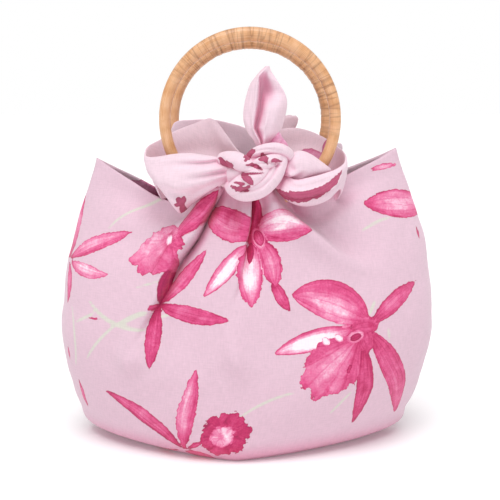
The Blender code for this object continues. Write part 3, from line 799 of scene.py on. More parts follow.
# flowers of the print, in millimetres from the front's middle and up from the base, and degrees
# petals: layer, tone (0 darkest), pale middle, ruffle, lean of the pale part, then start u and v, heading, length,
# half width and curl
# fans: layer, tone, pale middle, ruffle, throat u and v, heading, half spread, reach of each scallop
flowers = {
    "open": {
        "centre": (93, 110),
        "petals": (
            ("sepal", 0.36, 0.0, 0.05, 0.0, 85, 114, 0, 24, 8, -40),
            ("sepal", 0.34, 0.0, 0.05, 0.0, 96, 113, -80, 18, 8, 0),
            ("sepal", 0.44, 0.45, 0.15, 0.3, 98, 120, 160, 70, 16, 45),
            ("sepal", 0.38, 0.25, 0.25, 0.0, 102, 117, 30, 60, 8, -15),
            ("sepal", 0.50, 1.10, 0.12, 0.1, 86, 114, 195, 70, 9, 10),
            ("sepal", 0.40, 0.15, 0.15, -0.2, 100, 112, -60, 100, 11, -20),
            ("sepal", 0.30, 0.10, 0.15, 0.0, 95, 102, -88, 75, 8, -10),
            ("lip", 0.92, 0.3, 0.1, 0.0, 60, 108, -45, 7, 3, 0),
            ("lip", 0.92, 0.3, 0.1, 0.0, 70, 110, -35, 8, 3, 0),
            ("lip", 0.72, 0.0, 0.05, 0.0, 81, 106, 15, 15, 5, 0),
            ("mark", 0.22, 0.0, 0.05, 0.0, 83, 106, 15, 11, 3, 0),
            ("mark", 0.22, 0.0, 0.3, 0.0, 84, 85, -105, 8, 2, 0),
        ),
        "fans": (("petal", 0.44, 0.4, 0.8, 92, 108, 225, 50, (35, 50, 65, 65, 50, 40)),),
    },
    "hanging": {
        "centre": (6, 190),
        "petals": (
            ("sepal", 0.40, 0.35, 0.3, 0.2, 3, 193, 155, 45, 13, -25),
            ("sepal", 0.46, 0.7, 0.25, 0.3, 5, 194, 0, 45, 13, -45),
            ("sepal", 0.52, 0.85, 0.15, 0.1, -3, 184, 230, 55, 7, -5),
            ("sepal", 0.34, 0.1, 0.2, 0.0, 18, 156, -60, 30, 5, 10),
            ("sepal", 0.24, 0.0, 0.1, 0.0, 5, 222, -92, 34, 6, 0),
            ("sepal", 0.30, 0.0, 0.05, 0.0, 2, 200, -80, 22, 9, -50),
            ("petal", 0.46, 0.8, 0.4, 0.0, 2, 184, -90, 50, 11, 20),
            ("petal", 0.44, 0.35, 0.4, 0.0, 9, 186, -72, 38, 9, -25),
            ("lip", 0.18, 0.0, 0.15, 0.0, 1, 186, -95, 18, 3, 0),
            ("lip", 0.74, 0.0, 0.05, 0.0, 4, 197, -70, 18, 5, 0),
            ("mark", 0.34, 0.2, 0.05, 0.0, 5, 195, -70, 13, 4, 0),
        ),
        "fans": (),
    },
    "star": {
        "centre": (-77, 135),
        "petals": (
            ("sepal", 0.42, 0.3, 0.2, 0.3, -77, 135, 47, 62, 6, 15),
            ("sepal", 0.36, 0.2, 0.2, 0.3, -77, 135, -10, 63, 7, 20),
            ("sepal", 0.34, 0.1, 0.3, 0.0, -77, 135, -97, 55, 7, 0),
            ("sepal", 0.12, 0.0, 0.1, 0.0, -77, 135, 70, 36, 4, 0),
            ("sepal", 0.35, 0.1, 0.2, 0.0, -77, 135, 210, 10, 2, 0),
        ),
        "fans": (),
    },
    "shell": {
        "centre": (-60, 186),
        "petals": (
            ("petal", 0.50, 0.3, 0.5, 0.0, -57, 184, 150, 25, 9, 0),
            ("petal", 0.36, 0.2, 0.15, 0.0, -62, 184, 52, 57, 5, 0),
            ("lip", 0.98, 0.2, 0.2, 0.0, -65, 189, -90, 8, 3, 0),
        ),
        "fans": (("petal", 0.46, 0.4, 0.4, -60, 188, 195, 75, (15, 15, 25, 35, 50, 45, 35, 25)),),
    },
    "spray": {
        "centre": (-46, 10),
        "petals": (
            ("sepal", 0.32, 0.3, 0.15, -0.1, -48, 10, 150, 95, 6, 25),
            ("sepal", 0.40, 0.55, 0.4, 0.3, -46, 10, 88, 75, 8, -30),
            ("sepal", 0.44, 0.1, 0.2, 0.0, -50, 8, 195, 38, 2.5, -25),
            ("sepal", 0.40, 0.2, 0.2, 0.0, -46, 7, -15, 30, 5, 0),
            ("sepal", 0.34, 0.1, 0.2, 0.0, -44, 11, 35, 17, 2.5, 0),
        ),
        "fans": (
            ("petal", 0.26, 0.0, 0.8, -14, 27, 0, 180, (22, 20) * 6),
            ("lip", 0.70, 0.25, 0.45, -17, 25, 10, 180, (9, 10, 11, 11, 10, 9)),
        ),
    },
    "slim": {
        "centre": (-177, 163),
        "petals": (
            ("sepal", 0.40, 0.35, 0.25, -0.4, -179, 163, 80, 58, 10, -40),
            ("sepal", 0.46, 0.45, 0.25, 0.3, -177, 163, 22, 75, 6.5, -10),
            ("sepal", 0.60, 0.4, 0.25, 0.3, -174, 161, -7, 52, 5.5, 20),
            ("sepal", 0.42, 0.2, 0.2, 0.0, -178, 160, -88, 36, 4.5, -60),
            ("sepal", 0.46, 0.3, 0.3, 0.0, -181, 164, 163, 46, 9, 25),
        ),
        "fans": (),
    },
    "tips": {
        "centre": (0, 0),
        "petals": (
            ("sepal", 0.60, 0.2, 0.2, 0.0, 118, 240, 7, 36, 2.5, -15),
            ("sepal", 0.34, 0.0, 0.2, 0.0, 94, 248, 20, 24, 1.6, 0),
            ("sepal", 0.46, 0.45, 0.25, 0.1, 106, 213, -5, 90, 12, -10),
            ("sepal", 0.40, 0.0, 0.2, 0.0, 163, 191, -78, 12, 1.6, 0),
            ("sepal", 0.40, 0.1, 0.2, 0.0, -162, 60, -70, 31, 2.5, 10),
            ("sepal", 0.40, 0.0, 0.2, 0.0, -174, 90, -90, 15, 1.6, 0),
            ("sepal", 0.40, 0.0, 0.2, 0.0, -143, 118, 5, 15, 1.2, 0),
        ),
        "fans": (),
    },
}
# where the print's repeat brings the flowers round on the back: flower, u, v from the back's middle, turned by
backFlowers = (
    ("open", -62, 118, 150),
    ("hanging", 48, 188, -24),
    ("star", 70, 90, 75),
    ("spray", -10, 42, -100),
    ("slim", 115, 50, 60),
    ("shell", -90, 208, -40),
)
# stems: start u and v, heading, length, half width, curl
frontStems = (
    (-70, 223, 207, 70, 1.2, 35),
    (-86, 128, 205, 30, 2.2, 10),
    (-111, 118, 225, 50, 1.3, 20),
    (-143, 132, -18, 60, 2.0, 50),
    (-168, 125, -85, 53, 1.4, -45),
    (-158, 113, 25, 23, 1.4, 0),
    (37, 64, 208, 50, 1.3, 35),
    (-95, 147, 14, 22, 1.0, 0),
    (-83, 122, 17, 20, 1.2, 0),
    (100, 192, 15, 34, 1.3, -20),
    (72, 42, 53, 23, 1.2, 0),
    (100, 124, 62, 13, 1.5, 0),
    (119, 112, -83, 9, 1.2, 0),
)
backStems = (
    (-10, 62, 12, 42, 1.4, -35),
    (20, 125, 28, 50, 1.4, 35),
    (-125, 150, 250, 45, 1.2, 35),
    (-70, 50, 172, 47, 1.3, 50),
)


def carried(flower, toU, toV, turn):
    # one of the flowers, turned about its centre and moved
    fromU, fromV = flower["centre"]
    cosine, sine = math.cos(math.radians(turn)), math.sin(math.radians(turn))

    def place(u, v):
        offU, offV = u - fromU, v - fromV
        return toU + offU * cosine - offV * sine, toV + offU * sine + offV * cosine

    petals = [(*row[:5], *place(row[5], row[6]), row[7] + turn, *row[8:]) for row in flower["petals"]]
    fans = [(*row[:4], *place(row[4], row[5]), row[6] + turn, *row[7:]) for row in flower["fans"]]
    return petals, fans


body = bagBody()
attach(body, "root")
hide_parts("cloth")
print("body hung:", len(body.data.polygons), "faces")

# an end of the cloth, from the knot round the ring, in millimetres: top x, y, z, foot x, y, z, bulge, thickness
leftOuter = (
    (-6, -66, 250, -6, -64, 233, 3, 8),
    (-21.5, -68, 253.5, -20.5, -66, 233, 4, 8),
    (-34, -68, 256, -34, -63, 225.5, 10, 7),
    (-48, -65, 257.8, -46.5, -60, 216, 15, 6),
    (-61, -61, 256.8, -57.2, -59, 208, 15, 5),
    (-74, -56, 254.5, -65.5, -56, 218, 11, 4.2),
    (-83.5, -50, 254, -74, -52, 231, 5, 3.6),
    (-87.5, -41, 256.2, -78.2, -44, 231, 1, 3.2),
    (-86, -31, 261.5, -75, -35, 218, 1, 3),
)
leftInner = (
    (-77.5, -18, 266.5, -69, -29, 217, 1, 2.8),
    (-65, -8, 273.5, -55, -29, 211, 0, 2.8),
    (-50, -4, 279.5, -40, -30, 208, -1, 2.8),
    (-33, -4, 283.8, -26, -31, 208, -1, 3),
    (-19, -13, 270, -16, -32, 211, 0, 3.5),
    (-10, -26, 258, -8, -32, 215, 0, 3.5),
    (2, -31, 245, 2, -33, 217, 0, 3.5),
)
rightOuter = (
    (6, -66, 250, 6, -64, 232, 3, 8),
    (21, -67, 246, 18, -64, 229, 4, 7),
    (29, -68, 240.5, 28, -65, 220, 4, 6),
    (37, -68.5, 236.8, 37, -65, 215.5, 5, 5.5),
    (46, -67.5, 238.3, 46, -63, 214, 5.5, 5),
    (57, -64, 240.8, 56, -60, 215.5, 5.5, 4.6),
    (68, -58, 243.8, 65, -57, 219.5, 5, 4.2),
    (76.5, -50, 248, 73.5, -52, 226.5, 2, 3.8),
    (80, -40, 252.8, 76.2, -43, 224, 1, 3.4),
    (78.5, -30, 257.5, 74, -34, 217, 1, 3),
)
rightInner = (
    (72, -20, 263, 66, -29, 214, 2, 2.8),
    (64, -16, 268.2, 54, -28, 210, 1, 2.8),
    (52, -13, 273.8, 40, -27, 208, -1, 2.8),
    (38, -13, 276.6, 26, -27, 208, -1, 3),
    (24, -15, 274, 12, -27, 211, 0, 3.5),
    (6, -20, 262, -2, -27, 215, 0, 3.5),
)
# behind the bag the inner flap beside the left end is lower, and the one beside the right end stands higher
backLeftInner = (
    (-77.5, -23, 262, -69, -29, 217, 1, 2.8),
    (-65, -19, 265, -55, -28, 211, 0, 2.8),
    (-50, -18, 269, -40, -29, 208, -1, 2.8),
    (-33, -19, 270, -26, -30, 208, -1, 3),
    (-12, -26, 262, -10, -32, 213, 0, 3.5),
    (2, -31, 245, 2, -33, 217, 0, 3.5),
)
backRightInner = (
    (73.5, -21.5, 274, 66, -29, 214, 2, 2.8),
    (68, -18.5, 281.5, 54, -28, 210, 1, 2.8),
    (52, -17, 283.2, 40, -26, 208, -1, 2.8),
    (34, -17, 283.2, 26, -26, 208, -1, 3),
    (18, -19, 280, 10, -26, 211, 0, 3.5),
    (6, -21, 276.5, -4, -26, 215, 0, 3.5),
    (-12, -24, 268, -16, -28, 217, 0, 3.5),
)
# the puffed layer behind the right end's rolled edge
rightPuff = (
    (18, -66, 249, 18, -63, 233, 2, 8),
    (25.7, -66, 252.7, 26, -63, 232, 3, 9),
    (33, -65, 257, 33, -62, 231, 4, 9.5),
    (41, -63, 259.3, 41, -61, 232, 4, 9),
    (50, -60, 256, 50, -58, 233, 3, 7.8),
    (59, -57, 249.7, 59, -56, 235, 2, 5.8),
    (66, -55, 244.5, 66, -54, 237, 1, 3.6),
)
# the knot's own wraps: x, y, z, half width, half depth
knotWraps = (
    (
        (26.2, -68, 256, 4.5, 4.5), (23.5, -73, 249, 6.2, 5.5), (18, -78, 239, 7.2, 6), (8, -80, 230, 7.5, 6),
        (-4, -78.5, 226.2, 6.8, 5.8), (-13, -74, 229, 6, 5), (-18, -68, 235, 4.5, 4),
    ),
    (
        (-25, -67, 252, 5, 4.5), (-17, -73.5, 253, 6.6, 6), (-9, -78.5, 251.5, 7.2, 6.5), (-2, -80, 247.5, 6.4, 6),
        (2.5, -78, 242.5, 5, 4.5),
    ),
    (
        (-3, -70, 249, 4, 4), (3, -73.5, 257, 4.4, 4.5), (12, -75.5, 260.8, 4.6, 5), (22, -74, 261.2, 5, 5),
        (30, -69, 257.5, 4.6, 4.5), (33, -64, 252, 4, 3.5),
    ),
    (
        (15, -74, 247, 4, 5), (8, -80, 242, 6, 6), (-2, -82.5, 237, 7, 5.5), (-11, -80, 231.5, 6.2, 5),
        (-17, -74, 227, 4, 4),
    ),
    (
        (27, -69, 254, 3.5, 4), (19, -77, 252.5, 5.2, 5), (10, -80, 250, 5.6, 5), (0, -78.5, 246.5, 4.2, 4),
    ),
)
# what fills the knot and the neck below it
knotCore = (
    (
        (2, -66, 230, 11.5, 10), (2, -56, 229, 11, 9.5), (2, -45, 229, 11, 8), (2, -34, 229, 11, 9),
        (2, -24, 230, 11, 10),
    ),
    (
        (-17, -66, 240, 10, 9), (-6, -70, 240.5, 15.5, 11), (8, -70, 241, 16, 11), (20, -66, 243, 10, 9),
    ),
)
# the free corner in front, row by row: z, left, fold and right x, then how far forward at seven places across
frontTail = (
    (260, 6, 9.5, 14, 66, 68, 69, 66, 69, 68, 66),
    (267, 3.2, 8.8, 17, 66, 68, 70.5, 62, 68.5, 68, 65),
    (272.3, -1, 6.5, 22.6, 64, 66.5, 69.5, 59, 67.8, 68.5, 63),
    (277.3, -3.7, 4.6, 25.7, 62, 66, 67, 56, 67.2, 68.8, 61),
    (281.6, -5.1, 5.6, 27.1, 61, 65.5, 65, 54.5, 66.2, 68.8, 60),
    (287.6, -5.6, 7, 28.6, 60, 65, 63.8, 53, 64.8, 68.2, 59.2),
    (294, -5, 8, 29.8, 59, 64.5, 63.2, 52, 62, 66.8, 59.2),
    (300, -3.8, 8.3, 29.6, 58.5, 63.8, 63, 51, 56, 63.2, 60.5),
    (306, -2.2, 8.3, 27.5, 58, 63.2, 62.8, 51, 51, 59, 61.8),
    (313, 0.4, 8.3, 23.2, 58, 62.4, 62.4, 53, 51.5, 59, 61.2),
    (318.5, 4.5, 8.2, 19.6, 58, 61.4, 62, 58, 56, 60.2, 59.8),
    (323, 8.5, 11.8, 16.8, 58, 60.5, 61.5, 61.8, 61.2, 60.5, 58.5),
    (326.5, 12.5, 14, 15.5, 59, 59.5, 60, 60, 60, 59.5, 59),
)
# a corner of the print that shows between the free corner and the knot
gusset = (
    (258, 8, 19, 32, 64, 64.5, 65, 65, 65, 64.5, 64),
    (265, 10, 20, 30, 64, 64.5, 65, 65, 65, 64.5, 63.5),
    (270, 16.5, 21.5, 26.2, 63.5, 64, 64.2, 64.2, 64.2, 64, 63),
    (273.8, 22.6, 23.4, 24.2, 63, 63, 63, 63, 63, 63, 63),
)
# seen from behind, it leans over to the left: x, y, z, half width, half depth
backTail = (
    (-8, -64, 252, 5, 4),
    (-15, -65, 260, 6, 3.5),
    (-23, -65, 268, 8.5, 3),
    (-31, -64, 274.5, 9, 2.6),
    (-39, -63, 279.8, 8, 2.4),
    (-43.5, -62, 283.6, 4.8, 2),
    (-45, -61.5, 286.2, 1.4, 1.2),
)
# creases of the ends, as the bag's folds are given
tieCreases = (
    # left end: a rolled top edge, and gathers that spread from the knot
    ("soft", 3.4, 4.6, (
        (-25, 252.5, 1), (-36, 254, 3.4), (-48, 255.2, 4.2), (-61, 254, 4.2), (-74, 252, 3), (-85, 253, 1),
    )),
    ("soft", 2.2, 3.4, ((-21.5, 250.8, -4), (-30, 250, -4.6), (-40, 249.2, -3.6), (-52, 248.5, -2), (-64, 247.5, 0))),
    ("soft", 3.6, 3.6, ((-21.5, 246.6, 2), (-34, 245.5, 2.2), (-52, 244, 1.2), (-68, 242, 0))),
    ("soft", 2, 2.6, ((-20.5, 243, -4.2), (-31, 241.2, -3.8), (-45, 238.5, -1.8), (-56, 237, 0))),
    ("soft", 3.4, 3.4, ((-21, 239.5, 1.6), (-33, 236.5, 1.8), (-47, 231, 1), (-58, 226, 0))),
    ("soft", 2, 2.8, ((-20, 236.5, -3.4), (-30, 233, -3.6), (-43, 226.2, -2.6), (-53, 219, 0))),
    ("soft", 3, 5, ((-34.1, 234, 0), (-47.2, 227.2, -4), (-56.7, 225, -6), (-63.7, 226.2, -5), (-72, 233, 0))),
    # right end: a rolled rim, and the light band above its printed hem
    ("soft", 2.2, 3.2, ((29, 256, -3), (27.8, 244, -4.5), (22.5, 233, -4.5), (15, 224, -3))),
    ("soft", 3.4, 4.4, (
        (30, 238, 1), (37, 234.5, 2.4), (46, 236, 3), (57, 238.6, 3), (68, 241.4, 2.6), (76.5, 245.5, 1.6),
    )),
    ("soft", 2.6, 2.6, ((23, 242, -3), (29, 237, -2), (37, 230.5, -0.8), (46, 230, 0))),
    ("tuck", 5.5, 5, 0.9, (
        (75.6, 242, 0), (66.8, 231.8, 3.2), (53.2, 227.2, 4.4), (38.7, 224.8, 4.4), (29.8, 226.2, 3.6),
        (16.1, 232, 1),
    )),
)
# the flaps that stand behind the ring
flapCreases = (
    ("soft", 6, 10, ((-32, 283, 2), (-26, 272, 3), (-19, 260, 3), (-12, 248, 0))),
    ("soft", 6, 8, ((-76, 250, 0), (-60, 254, -3), (-40, 258, -3.5), (-20, 254, -3))),
    ("soft", 8, 8, ((-60, 230, 0), (-42, 240, -2), (-22, 244, -3))),
    ("soft", 7, 9, ((20, 256, -2.5), (38, 262, -3), (56, 262, -2), (68, 256, 0))),
    ("soft", 8, 8, ((18, 244, -2.5), (40, 246, -2.5), (60, 238, 0))),
)
puffCreases = (
    ("soft", 2.2, 3.2, ((29, 258, -3), (27.8, 244, -4.5), (22.5, 233, -4.5), (15, 224, -3))),
    ("soft", 2, 2.6, (
        (24.8, 251.2, -2), (23.1, 244.2, -4.2), (25.5, 238.3, -4.6), (32, 236.2, -4), (39.6, 238.9, -3),
        (46, 242.4, 0),
    )),
    ("soft", 2, 2.6, ((28.4, 247.7, 1), (28.4, 243, 2.4), (31.9, 240.5, 2.6), (36.6, 241.4, 2), (41.3, 245.9, 0))),
    ("soft", 2.2, 2.6, ((33, 249, -1), (34, 245.2, -2.6), (37.2, 244, -1.8), (42, 248, 0))),
)
knotCreases = (
    ("soft", 1, 1, (
        (-22.6, 253.2, -1.2), (-15, 244.2, -2.2), (-9.2, 241.5, -2.2), (0.2, 242.5, -2.2), (9.7, 242, -1.2),
    )),
    ("soft", 1, 1, ((10, 242.2, -1.4), (4.8, 248.3, -2), (-2.2, 246.7, -1))),
    ("soft", 1, 1, ((24, 249, -1.4), (13.2, 250.6, -2), (3.7, 250, -1))),
    ("soft", 1.2, 1.2, ((3, 259, -0.8), (13, 261.2, -1.4), (25, 260, -0.8))),
    ("soft", 1.2, 1.2, ((21.5, 249, -1.6), (16.5, 238.5, -2.2), (7, 231, -2), (-6, 228.5, -1))),
    ("soft", 1, 1, ((-10, 239.5, -0.8), (-6, 236, -1.4), (-1, 233, -1))),
)
tailCreases = (
    ("soft", 1.2, 1.2, ((12.5, 293, -0.2), (10.8, 285, -1.1), (10, 276, -1.1), (10.5, 269, 0))),
    ("soft", 1.4, 1.4, ((19, 296, -0.2), (16.5, 287, -0.9), (14, 277, -1), (12.5, 269, 0))),
    ("soft", 1.6, 1.6, ((-0.5, 296, 0), (-1.2, 286, -0.8), (1, 276, -1), (5, 269, 0))),
)
ringY = -0.040  # what is nearer than this is the outward side of a tie, the rest its inner flaps
backWidth = 0.965  # the back is tied a little narrower than the front
# the print on each piece of the tie, on the outward side and on the inner flaps, given as the flowers' petals are
leftEndPetals = (
    ("petal", 0.20, 0.0, 0.25, 0.0, -55, 217, 130, 6, 2.5, 0),
    ("petal", 0.20, 0.0, 0.25, 0.0, -55, 217, 70, 6, 2.5, 0),
    ("petal", 0.20, 0.0, 0.25, 0.0, -55, 217, 195, 7, 2.0, 0),
    ("petal", 0.20, 0.0, 0.25, 0.0, -55, 217, -95, 10, 3.0, -40),
)
rightEndPetals = (("petal", 0.20, 0.0, 0.45, 0.0, 13, 231, 12, 72, 5, 95),)
rightFlapPetals = (
    ("petal", 0.62, 0.2, 0.25, 0.0, 41, 254, -15, 27, 6, -30),
    ("petal", 0.58, 0.0, 0.15, 0.0, 69, 268, 244, 16, 3, 0),
)
leftFlapPetals = (("petal", 0.24, 0.0, 0.25, 0.0, -30, 253, 13, 34, 5, 0),)
knotPetals = (
    ("sepal", 0.20, 0.0, 0.45, 0.0, -25, 254, -38, 20, 2.8, 0),
    ("sepal", 0.20, 0.0, 0.45, 0.0, -17, 250, 245, 4, 1.4, 0),
    ("sepal", 0.20, 0.0, 0.30, 0.0, 4, 261, 213, 11, 2.4, 0),
    ("sepal", 0.22, 0.0, 0.30, 0.0, 2, 258, 223, 9, 2.0, 0),
    ("sepal", 0.20, 0.0, 0.35, 0.0, 9, 258, -60, 10, 2.5, 0),
    ("sepal", 0.22, 0.0, 0.35, 0.0, 6, 253, 10, 9, 1.8, 20),
    ("sepal", 0.26, 0.0, 0.35, 0.0, 15, 252, -5, 11, 1.6, -25),
    ("sepal", 0.26, 0.0, 0.20, 0.0, 19, 254, -50, 4, 1.0, 0),
    ("sepal", 0.24, 0.0, 0.30, 0.0, -4, 249, -20, 17, 1.6, -60),
    ("sepal", 0.24, 0.0, 0.0, 0.0, -9, 242, 2, 21, 1.0, 0),
    ("sepal", 0.22, 0.0, 0.20, 0.0, -7, 243, -45, 14, 3.0, 0),
    ("sepal", 0.22, 0.0, 0.30, 0.0, -13, 235, -5, 11, 1.3, 0),
    ("sepal", 0.22, 0.0, 0.45, 0.0, -15, 233, -12, 16, 2.6, 40),
    ("sepal", 0.24, 0.0, 0.30, 0.0, -4, 230, 35, 5, 1.6, 0),
)
gussetPetals = (("sepal", 0.62, 0.3, 0.0, 0.0, 0, 253, 35, 45, 30, 0),)


def closedShell(grid, cut, creases=()):
    # a closed tube of cloth from a grid of sections, creased on its outer face, each end gathered to a point
    sections, around = grid.shape[:2]
    normals = gridNormals(grid, True)
    if (normals * (grid - grid.mean(axis=1, keepdims=True))).sum() < 0:
        normals = -normals
    if creases:
        facing = np.clip((-normals[..., 1] - 0.1) / 0.4, 0, 1)
        lift, slideX, slideZ = foldLift(grid[..., 0], grid[..., 2], creases)
        grid = grid + normals * (lift * facing)[..., None]
        grid[..., 0] += slideX * facing
        grid[..., 2] += slideZ * facing
    points = np.concatenate([grid.reshape(-1, 3), grid[0].mean(axis=0)[None], grid[-1].mean(axis=0)[None]])
    faces = []
    for step in range(sections - 1):
        faces += bandFaces(step * around, (step + 1) * around, around)
    start, last = sections * around, (sections - 1) * around
    for place in range(around):
        nearby = (place + 1) % around
        faces.append((nearby, place, start))
        faces.append((last + place, last + nearby, start + 1))
    cut = np.concatenate([cut.reshape(-1, 2), cut[0, :1], cut[-1, :1]])
    return points, faces, cut, np.concatenate([normals.reshape(-1, 3), np.zeros((2, 3))])


def pathLength(points):
    return np.concatenate([[0], np.cumsum(np.linalg.norm(np.diff(points, axis=0), axis=1))])


def endStrip(rows, mirrored, creases, stations=180, around=80):
    # a cloth end on edge: a soft folded band through its top and foot points
    table = smoothPath(rows, stations) * mm
    top, foot, bulge, thick = table[:, 0:3], table[:, 3:6], table[:, 6], table[:, 7]
    run = np.gradient((top + foot) / 2, axis=0)
    out = unit(np.cross(run, top - foot)) * (1 if mirrored else -1)
    turn = np.linspace(0, 2 * math.pi, around, endpoint=False)
    down = (1 - np.cos(turn)) / 2
    swell = np.sign(np.sin(turn)) * np.abs(np.sin(turn)) ** 0.55
    lift = bulge[:, None] * np.sin(math.pi * down) + thick[:, None] / 2 * swell
    grid = top[:, None] + (foot - top)[:, None] * down[None, :, None] + out[:, None] * lift[..., None]
    for folds, front in ((creases, 1), (flapCreases, -1)):
        lift, slideX, slideZ = foldLift(grid[..., 0], grid[..., 2], folds)
        share = np.clip((-front * (grid[..., 1] - ringY)) / 0.004, 0, 1)
        grid = grid + out[:, None] * (front * lift * share)[..., None]
        grid[..., 0] += slideX * share
        grid[..., 2] += slideZ * share
    tall = np.linalg.norm(top - foot, axis=1)
    length = np.repeat(pathLength((top + foot) / 2)[:, None], around, 1)
    cut = np.stack([length, tall[:, None] * np.where(turn < math.pi, down, 2 - down)[None]], axis=2)
    return closedShell(grid, cut)


def bundle(rows, creases, pleats=0.05, stations=60, around=40):
    # a round gathered bundle through centres, half widths and half depths, with pleats along it
    table = smoothPath(rows, stations) * mm
    centre, wide, deep = table[:, 0:3], table[:, 3], table[:, 4]
    run = unit(np.gradient(centre, axis=0))
    across = unit(np.cross(run, np.array((0.0, 1.0, 0.0))))
    ahead = np.cross(across, run)
    turn = np.linspace(0, 2 * math.pi, around, endpoint=False)
    along = np.linspace(0, 1, stations)[:, None]
    rough = 1 - pleats * np.abs(np.sin(turn * 2.5 + along * 1.5)) ** 3
    close = np.minimum(1, np.minimum(along, 1 - along) * 12 + 0.35)
    grid = (
        centre[:, None]
        + across[:, None] * (wide[:, None] * np.cos(turn) * rough * close)[..., None]
        + ahead[:, None] * (deep[:, None] * np.sin(turn) * rough * close)[..., None]
    )
    length = np.repeat(pathLength(centre)[:, None], around, 1)
    cut = np.stack([length, np.repeat((turn * wide.mean())[None], stations, 0)], axis=2)
    return closedShell(grid, cut, creases)


def leaf(rows, creases, stations=90, around=84, thickness=0.0022):
    # a free corner of the cloth: two lobes about a fold
    heights = np.linspace(rows[0][0], rows[-1][0], stations)
    table = readTable(rows, heights) * mm
    turn = np.linspace(0, 2 * math.pi, around, endpoint=False)
    share = (1 - np.cos(turn)) / 2
    swell = np.sign(np.sin(turn)) * np.abs(np.sin(turn)) ** 0.5
    foldAt, places = 0.45, (0.0, 0.2, 0.38, 0.45, 0.53, 0.78, 1.0)
    grid = np.zeros((stations, around, 3))
    for step, (left, fold, right, *forward) in enumerate(table):
        inLeft = left + (fold - left) * share / foldAt
        inRight = fold + (right - fold) * (share - foldAt) / (1 - foldAt)
        grid[step, :, 0] = np.where(share < foldAt, inLeft, inRight)
        grid[step, :, 1] = -readTable(list(zip(places, forward)), share)[:, 0] - thickness / 2 * swell
        grid[step, :, 2] = heights[step] * mm
    return closedShell(grid, grid[..., ::2].copy(), creases)


def tie(name, facing):
    leftRows, rightRows = leftOuter + leftInner, rightOuter + rightInner
    if facing > 0:
        leftRows, rightRows = leftOuter + backLeftInner, rightOuter + backRightInner
    shells = [  # each with its print on the outward side, then on the inner flap
        (endStrip(leftRows, False, tieCreases), leftEndPetals, leftFlapPetals if facing > 0 else ()),
        (endStrip(rightRows, True, tieCreases), rightEndPetals, rightFlapPetals),
        (endStrip(rightPuff, True, puffCreases, 80, 60), (), ()),
    ]
    shells += [(bundle(rows, (), 0.1), (), ()) for rows in knotCore]
    shells += [(bundle(rows, knotCreases), knotPetals, ()) for rows in knotWraps]
    if facing < 0:
        shells.append((leaf(frontTail, tailCreases), (), ()))
        shells.append((leaf(gusset, (), 30, 40), gussetPetals, ()))
    else:
        shells.append((bundle(backTail, (), 0.1), (), ()))
    points, faces, cuts, prints, total = [], [], [], [], 0
    for (shellPoints, shellFaces, shellCut, normals), outerPetals, innerPetals in shells:
        layers = emptyPrint(len(shellPoints))
        x, y, z = shellPoints.T
        printed = normals[:, 1] < 0.2
        printPetals(layers, np.where(printed & (y < ringY), x, far), z, outerPetals)
        printPetals(layers, np.where(printed & (y >= ringY), x, far), z, innerPetals)
        faces += [tuple(index + total for index in face) for face in shellFaces]
        total += len(shellPoints)
        points.append(shellPoints)
        cuts.append(shellCut)
        prints.append(layers)
    points = np.concatenate(points)
    layers = {key: np.concatenate([part[key] for part in prints]) for key in prints[0]}
    if facing > 0:
        points[:, 0] *= -backWidth
        points[:, 1] *= -1
    points[:, 0] += bagShift
    piece = clothObject(name, points, faces, np.concatenate(cuts), layers, (wrongSide,))
    bpy.ops.object.select_all(action="DESELECT")
    bpy.context.view_layer.objects.active = piece
    piece.select_set(True)
    bpy.ops.object.mode_set(mode="EDIT")
    bpy.ops.mesh.select_all(action="SELECT")
    bpy.ops.mesh.normals_make_consistent(inside=False)
    bpy.ops.object.mode_set(mode="OBJECT")
    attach(piece, "root")
    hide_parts("cloth")
    return piece


frontTie = tie("cloth_front_tie", -1)
backTie = tie("cloth_back_tie", 1)
for piece in (body, frontTie, backTie):
    mesh = piece.data
    area = sum(face.area for face in mesh.polygons)
    print(piece.name, "surface", round(area, 4), "faces", len(mesh.polygons))

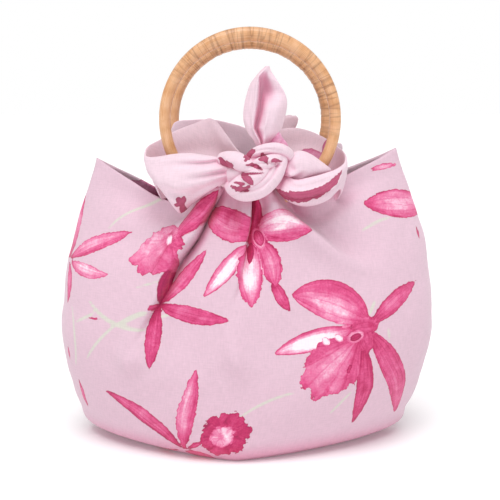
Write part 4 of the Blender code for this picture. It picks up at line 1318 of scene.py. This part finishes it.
studio = {
    "floor": "#F8F8F8",
    "floorGlow": 0.09,
    "horizon": 1.0,  # brightness round about
    "zenith": 0.36,  # and overhead
    "key": ((-0.06, -0.42, 1.0), 2.35, 42),  # direction, power, spread in degrees
    "rim": ((0.5, 0.7, 1.0), 0.3, 50),
    "eye": (0.0035, -0.790, 0.293),
    "aim": (0.0035, 0.0, 0.168),
    "lens": 64.44,
}
bpy.ops.object.select_all(action="DESELECT")
bpy.ops.mesh.primitive_plane_add(size=80, location=(0, 0, -0.0002))
floor = bpy.context.object
floor.name = "floor"
paper = bpy.data.materials.new("white paper sweep")  # matt paper, lit a little from below so that it stays white
paper.use_nodes = True
paperShader = paper.node_tree.nodes["Principled BSDF"]
paperShader.inputs["Base Color"].default_value = linear(studio["floor"])
paperShader.inputs["Roughness"].default_value = 0.9
paperShader.inputs["Emission Color"].default_value = (1, 1, 1, 1)
paperShader.inputs["Emission Strength"].default_value = studio["floorGlow"]
floor.data.materials.append(paper)

# the studio is white round about and dimmer overhead, so that the soft boxes shape the folds
world = bpy.data.worlds.new("studio")
bpy.context.scene.world = world
world.use_nodes = True
sky = world.node_tree
direction = addNode(sky, "ShaderNodeTexCoord").outputs["Generated"]
skyHeight = addNode(sky, "ShaderNodeSeparateXYZ", {0: direction}).outputs[2]
strength = addNode(
    sky, "ShaderNodeMapRange",
    {
        "Value": skyHeight, "From Min": 0.13, "From Max": 0.26,
        "To Min": studio["horizon"], "To Max": studio["zenith"],
    },
).outputs[0]
sky.nodes["Background"].inputs["Color"].default_value = (1, 1, 1, 1)
sky.links.new(strength, sky.nodes["Background"].inputs["Strength"])


def softSun(name, place, power, spread):
    # a far, broad soft box: its light comes from the direction of place
    light = bpy.data.lights.new(name, "SUN")
    light.energy = power
    light.angle = math.radians(spread)
    box = bpy.data.objects.new(name, light)
    box.rotation_euler = Vector(place).to_track_quat("Z", "Y").to_euler()
    bpy.context.scene.collection.objects.link(box)


softSun("key light", *studio["key"])
softSun("rim light", *studio["rim"])

camera = bpy.data.objects.new("camera", bpy.data.cameras.new("camera"))
camera.location = studio["eye"]
camera.rotation_euler = (Vector(studio["aim"]) - Vector(studio["eye"])).to_track_quat("-Z", "Y").to_euler()
camera.data.lens = studio["lens"]
camera.data.sensor_width = 36
camera.data.clip_start = 0.01
bpy.context.scene.collection.objects.link(camera)
bpy.context.scene.camera = camera
bpy.context.scene.view_settings.view_transform = "Standard"
print("studio lit")
